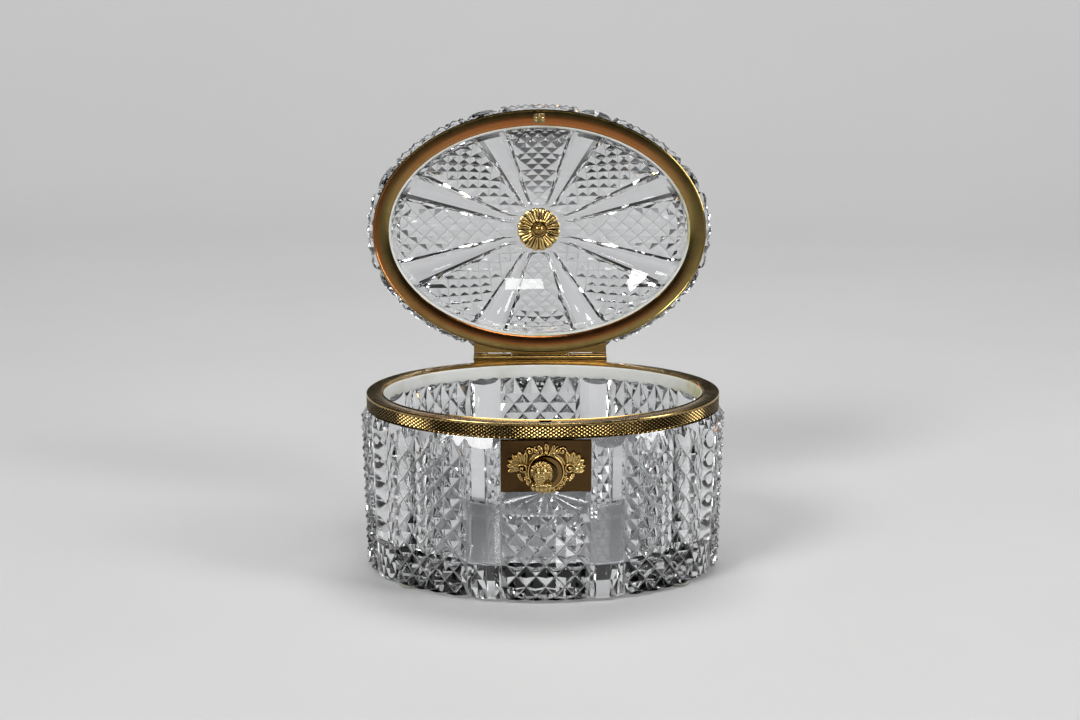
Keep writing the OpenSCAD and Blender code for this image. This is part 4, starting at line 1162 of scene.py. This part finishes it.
def ramp(tree, source, stops):
    """A colour ramp through (position, colour) stops."""
    n = tree.nodes.new("ShaderNodeValToRGB")
    elements = n.color_ramp.elements
    for position, _ in stops[1:-1]:
        elements.new(position)
    for element, (position, color) in zip(elements, stops):
        element.position, element.color = position, (*color, 1)
    feed(tree, n, Fac=source)
    return n.outputs["Color"]


def spread(tree, source, low, high, start=0.0, end=1.0):
    """The source's range from start to end, spread from low to high."""
    return node(tree, "MapRange", Value=source, From_Min=start, From_Max=end,
                To_Min=low, To_Max=high)["Result"]


def noise(tree, scale, detail=4.0, roughness=0.6):
    place = node(tree, "TexCoord")["Object"]
    return node(tree, "TexNoise", Vector=place, Scale=scale, Detail=detail,
                Roughness=roughness)["Fac"]


def bump(tree, height, strength, distance):
    return node(tree, "Bump", Height=height, Strength=strength, Distance=distance)["Normal"]


def attribute(tree, name):
    return node(tree, "Attribute", attribute_name=name)["Fac"]


def math_node(tree, operation, first, second):
    n = tree.nodes.new("ShaderNodeMath")
    n.operation = operation
    tree.links.new(first, n.inputs[0])
    tree.links.new(second, n.inputs[1])
    return n.outputs[0]


def mixed(tree, share, first, second):
    return node(tree, "Mix", data_type="RGBA", Factor=share, A=first, B=second)["Result"]


def grey(v):
    return (v, v, v)


GROOVE_START, GROOVE_FULL = 0.88, 0.96       # the mark's range across a groove's rounded bottom


def glass_material():
    """Clear crystal. The bottoms of its grooves are a little soft, and greyed as painted shade."""
    mat, tree, shader = new_material("cut_crystal")
    groove = attribute(tree, "groove")
    # painted shade: the groove bottoms' colour goes from clear to grey
    stops = [(GROOVE_START, (0.945, 0.952, 0.965)), (GROOVE_FULL, grey(0.62))]
    haze = spread(tree, noise(tree, 160.0), 0.0, 0.035, 0.35, 0.8)
    soft = spread(tree, groove, 0.0, 0.42, GROOVE_START, GROOVE_FULL)
    feed(tree, shader, Transmission_Weight=1.0, IOR=1.545, Base_Color=ramp(tree, groove, stops),
         Roughness=math_node(tree, "MAXIMUM", haze, soft),
         Normal=bump(tree, noise(tree, 90.0, 2.0), 0.05, 0.0003))
    return mat


def brass_material(name, light, deep, tarnish, rough, relief=None, copper=None):
    """Brass in patches, darkened in the hollows of its relief as painted shade, and mixed towards a
    copper colour by the copper attribute.
    """
    mat, tree, shader = new_material(name)
    stops = [(0.32, deep), (0.52, light), (0.7, light), (0.86, tarnish)]
    color = ramp(tree, noise(tree, 38.0, 6.0, 0.65), stops)
    if copper:
        color = mixed(tree, attribute(tree, "copper"), color, (*copper, 1))
    # painted shade: low relief mixes the colour towards a tenth of the deep colour
    if relief:
        low = spread(tree, attribute(tree, "relief"), 0.0, 1.0, *relief)
        color = mixed(tree, low, (*(c * 0.1 for c in deep), 1), color)
    worn = spread(tree, noise(tree, 120.0, 5.0), rough * 0.7, rough * 1.5, 0.3, 0.75)
    feed(tree, shader, Metallic=1.0, Base_Color=color, Roughness=worn,
         Normal=bump(tree, noise(tree, 900.0, 3.0), 0.15, 0.0001))
    return mat


def mottled_material(name, patches, stops, grain=None, worn=None, **values):
    """A material whose colour follows noise: patches is the noise's scale, detail and roughness.
    grain is (noise, strength, distance) of its bump, and worn (noise, range...) its roughness."""
    mat, tree, shader = new_material(name)
    values["Base_Color"] = ramp(tree, noise(tree, *patches), stops)
    if worn:
        values["Roughness"] = spread(tree, noise(tree, *worn[0]), *worn[1:])
    if grain:
        values["Normal"] = bump(tree, noise(tree, *grain[0]), *grain[1:])
    feed(tree, shader, **values)
    return mat


# ======== studio ========

HORIZON = 0.58


def aimed(name, data, place, away):
    """A camera or lamp at place that looks against the direction away."""
    obj = linked(name, data)
    obj.location = place
    obj.rotation_euler = away.to_track_quat("Z", "Y").to_euler()
    return obj


def camera():
    data = bpy.data.cameras.new("camera")
    data.sensor_width = 36.0
    data.lens = CAM_LENS
    data.clip_start, data.clip_end = 0.01, 20.0
    a, e = radians(CAM_AZIMUTH), radians(CAM_ELEVATION)
    away = Vector((sin(a) * cos(e), -cos(a) * cos(e), sin(e)))
    place = Vector(CAM_TARGET) * MM + away * CAM_DISTANCE * MM
    bpy.context.scene.camera = aimed("camera", data, place, away)


def area_lamp(name, place, aim, size, power):
    data = bpy.data.lights.new(name, "AREA")
    data.shape = "RECTANGLE"
    data.size, data.size_y = size
    data.energy = power
    aimed(name, data, place, Vector(place) - Vector(aim))


def floor_and_backdrop():
    """A pale floor that sweeps up behind into a backdrop."""
    depth, radius, half = 1.0, 0.9, 2.6
    profile = [(-2.6, 0.0), (depth, 0.0)]
    for a in np.linspace(0, radians(48), 13)[1:]:
        profile.append((depth + radius * sin(a), radius * (1 - cos(a))))
    points = [(x, y, z) for y, z in profile for x in (-half, half)]
    faces = [(2 * i, 2 * i + 1, 2 * i + 3, 2 * i + 2) for i in range(len(profile) - 1)]
    obj = make_object("floor", np.array(points) / MM, faces, sharp=60)
    obj.data.materials.append(floor_material())


def floor_material():
    """Pale grey. Far from the object it is seen at an even tone, which lights nothing."""
    stops = [(0.3, grey(0.60)), (0.7, grey(0.63))]
    mat = mottled_material("floor", (3.0,), stops, Roughness=0.75)
    tree = mat.node_tree
    place = node(tree, "TexCoord")["Object"]
    away = node(tree, "VectorMath", operation="LENGTH", Vector=place)["Value"]
    path = node(tree, "LightPath")
    seen = path["Is Camera Ray"]
    for ray in ("Is Glossy Ray", "Is Transmission Ray"):
        seen = math_node(tree, "MAXIMUM", seen, path[ray])
    share = math_node(tree, "MULTIPLY", spread(tree, away, 0.0, 1.0, 0.7, 2.0), seen)
    mix = tree.nodes.new("ShaderNodeMixShader")
    glow = node(tree, "Emission", Color=(*grey(HORIZON), 1), Strength=1.0)
    for i, source in enumerate((share, tree.nodes["Principled BSDF"].outputs[0], glow[0])):
        tree.links.new(source, mix.inputs[i])
    feed(tree, tree.nodes["Material Output"], Surface=mix.outputs[0])
    return mat


def world():
    """Pale round the horizon and dark overhead, as in a studio lit by its softboxes alone."""
    w = bpy.data.worlds.new("world")
    w.use_nodes = True
    tree = w.node_tree
    up = node(tree, "SeparateXYZ", Vector=node(tree, "TexCoord")["Generated"])["Z"]
    stops = [(0.04, grey(HORIZON)), (0.12, grey(0.16)), (0.24, grey(0.03))]
    feed(tree, tree.nodes["Background"], Color=ramp(tree, up, stops))
    bpy.context.scene.world = w


LAMPS = {                # place and aim in metres, size in metres, power in watts
    "key": ((-1.3, -1.4, 1.7), (0, 0, 0.1), (0.8, 0.8), 33),
    "fill": ((1.6, -0.7, 1.1), (0, 0, 0.1), (0.5, 1.1), 17),
    "front": ((0.25, -1.75, 1.75), (0, 0, 0.1), (0.5, 0.35), 5),
    "top": ((0.1, 0.7, 2.0), (0, 0.2, 0), (1.2, 0.7), 24),
}
# The gilt entries are copies of one gilt brass, made lighter or darker part by part as painted light
# and shade, and low relief gets painted shade.
# Each brass: its light, deep and tarnished colours, its roughness and its relief's range
BRASSES = {
    "gilt": ((0.38, 0.24, 0.075), (0.25, 0.15, 0.045), (0.32, 0.14, 0.045), 0.2),
    "cast_gilt": ((0.76, 0.55, 0.22), (0.50, 0.33, 0.11), (0.56, 0.30, 0.10), 0.17, (0.18, 0.75)),
    # the plate's brass, near black: a painted dark reflection
    "plate_bronze": ((0.085, 0.048, 0.018), (0.05, 0.026, 0.01), (0.12, 0.042, 0.018), 0.2),
    "lock_brass": ((0.34, 0.24, 0.10), (0.20, 0.13, 0.06), (0.2, 0.12, 0.06), 0.4),
    "rim_gilt": ((0.52, 0.36, 0.14), (0.35, 0.22, 0.07), (0.40, 0.19, 0.06), 0.17, (0.25, 0.8)),
    "lid_gilt": ((0.34, 0.245, 0.085), (0.22, 0.15, 0.045), (0.34, 0.15, 0.05), 0.13, (0.25, 0.8),
                 (0.44, 0.145, 0.045)),
    "bright_gilt": ((0.72, 0.55, 0.26), (0.5, 0.35, 0.14), (0.5, 0.3, 0.1), 0.18),
    # the darkest gilt copy, for the button's seat: painted shade
    "seat_gilt_painted_shade": ((0.20, 0.12, 0.045), (0.11, 0.06, 0.02), (0.2, 0.08, 0.03), 0.16),
}
SEAT_GAP = 0.1           # between a rosette and its washer
INNER_SEAT = CEILING_Z - WASHER_T - SEAT_GAP
OUTER_SEAT = LID_TOP - FLAT_DROP + WASHER_T + SEAT_GAP


def finishes():
    mats = {name: brass_material(name, *values) for name, values in BRASSES.items()}
    mats["crystal"] = glass_material()
    mats["cement"] = mottled_material("cement", (26.0, 3.0, 0.55), [
        (0.46, (0.84, 0.85, 0.82)), (0.58, (0.72, 0.72, 0.62)), (0.66, (0.55, 0.52, 0.22)),
        (0.74, (0.68, 0.67, 0.55))], ((420.0, 5.0), 0.35, 0.0002), Roughness=0.45)
    mats["pad"] = mottled_material("pad", (150.0, 3.0), [
        (0.3, (0.50, 0.54, 0.42)), (0.7, (0.66, 0.69, 0.58))], ((500.0, 2.0), 0.2, 0.0001),
        Transmission_Weight=0.35, Roughness=0.38)
    mats["steel"] = mottled_material("steel", (300.0, 4.0), [
        (0.3, (0.42, 0.42, 0.44)), (0.7, (0.58, 0.58, 0.60))],
        worn=((200.0,), 0.22, 0.4, 0.3, 0.7), Metallic=1.0)
    mats["leather"] = mottled_material("washer_leather", (400.0, 5.0), [
        (0.3, (0.16, 0.08, 0.035)), (0.7, (0.30, 0.17, 0.08))], ((1500.0, 4.0), 0.6, 0.0001),
        Roughness=0.7)
    return mats


def dress_crystal(mats):
    shell = base_crystal()
    obj = make_object("cut_base", shell.points, shell.faces, None, {"groove": shell.grooves})
    cut_with(obj, plate_cutters())
    clear_fan(obj)
    shade(obj, 9)
    finish_piece(obj, "base", "base_crystal", "crystal", mats["crystal"])
    shell = lid_crystal()
    obj = make_object("cut_lid", shell.points, shell.faces, 9, {"groove": shell.grooves}, lid=True)
    finish_piece(obj, "lid", "lid_crystal", "crystal", mats["crystal"])


def dress_metal(mats):
    pieces = [
        (base_rim(), "base", "base_rim", "gilt_brass", "rim_gilt"),
        (lid_rim(), "lid", "lid_rim", "gilt_brass", "lid_gilt"),
        (base_bedding(), "base", "base_bedding", "cement", "cement"),
        (lid_bedding(), "lid", "lid_bedding", "cement", "cement"),
        (escutcheon(), "base", "escutcheon", "gilt_brass", "cast_gilt"),
        (push_button(), "button", "push_button", "gilt_brass", "cast_gilt"),
        (lock_plate(), "base", "lock_plate", "plate_brass", "plate_bronze"),
        (keeper(), "lid", "lid_keeper", "gilt_brass", "bright_gilt"),
        (keeper_rivet(), "lid", "keeper_rivet", "gilt_brass", "bright_gilt"),
        (coil(), "base", "button_spring", "steel", "steel"),
        (leaf_spring(), "base", "latch_spring", "steel", "steel"),
    ]
    for end, row in ((-1, "front"), (1, "back")):
        for side, hand in ((-1, "left"), (1, "right")):
            name = "foot_%s_%s" % (row, hand)
            pieces.append((pad_piece(name, side, end), "base", name, "clear_pad", "pad"))
    pieces.append((rivets(), "base", "escutcheon_rivets", "gilt_brass", "cast_gilt"))
    for side, seat, up in (("inner", INNER_SEAT, -1), ("outer", OUTER_SEAT, 1)):
        petals = rosette("petals_" + side, seat, up)
        pieces.append((petals, "lid", side + "_rosette", "gilt_brass", "cast_gilt"))
    for obj, body, name, slot_name, finish in pieces:
        finish_piece(obj, body, name, slot_name, mats[finish])
        if name.endswith("_spring"):
            squeezed(obj, name)


def dress_cad_nodes(mats):
    """Finishes for the solids that no piece replaces, by their slots."""
    finish = {"crystal": "crystal", "gilt_brass": "gilt", "plate_brass": "plate_bronze",
              "lock_brass": "lock_brass", "steel": "steel", "cement": "cement",
              "clear_pad": "pad", "washer_leather": "leather"}
    slots = {entry["node"]: entry["material_slot"] for entry in frame["record"]["subparts"]}
    for name, obj in frame["nodes"].items():
        if not obj.hide_render:
            obj.data.materials.clear()
            # The button's seat gets the darkest gilt copy, as painted shade.
            seat = name == "button_seat"
            obj.data.materials.append(mats["seat_gilt_painted_shade" if seat else finish[slots[name]]])


def build():
    camera()
    floor_and_backdrop()
    world()
    for name, values in LAMPS.items():
        area_lamp(name, *values)
    mats = finishes()
    dress_crystal(mats)
    dress_metal(mats)
    dress_cad_nodes(mats)


build()
bpy.context.scene.view_settings.view_transform = "Standard"
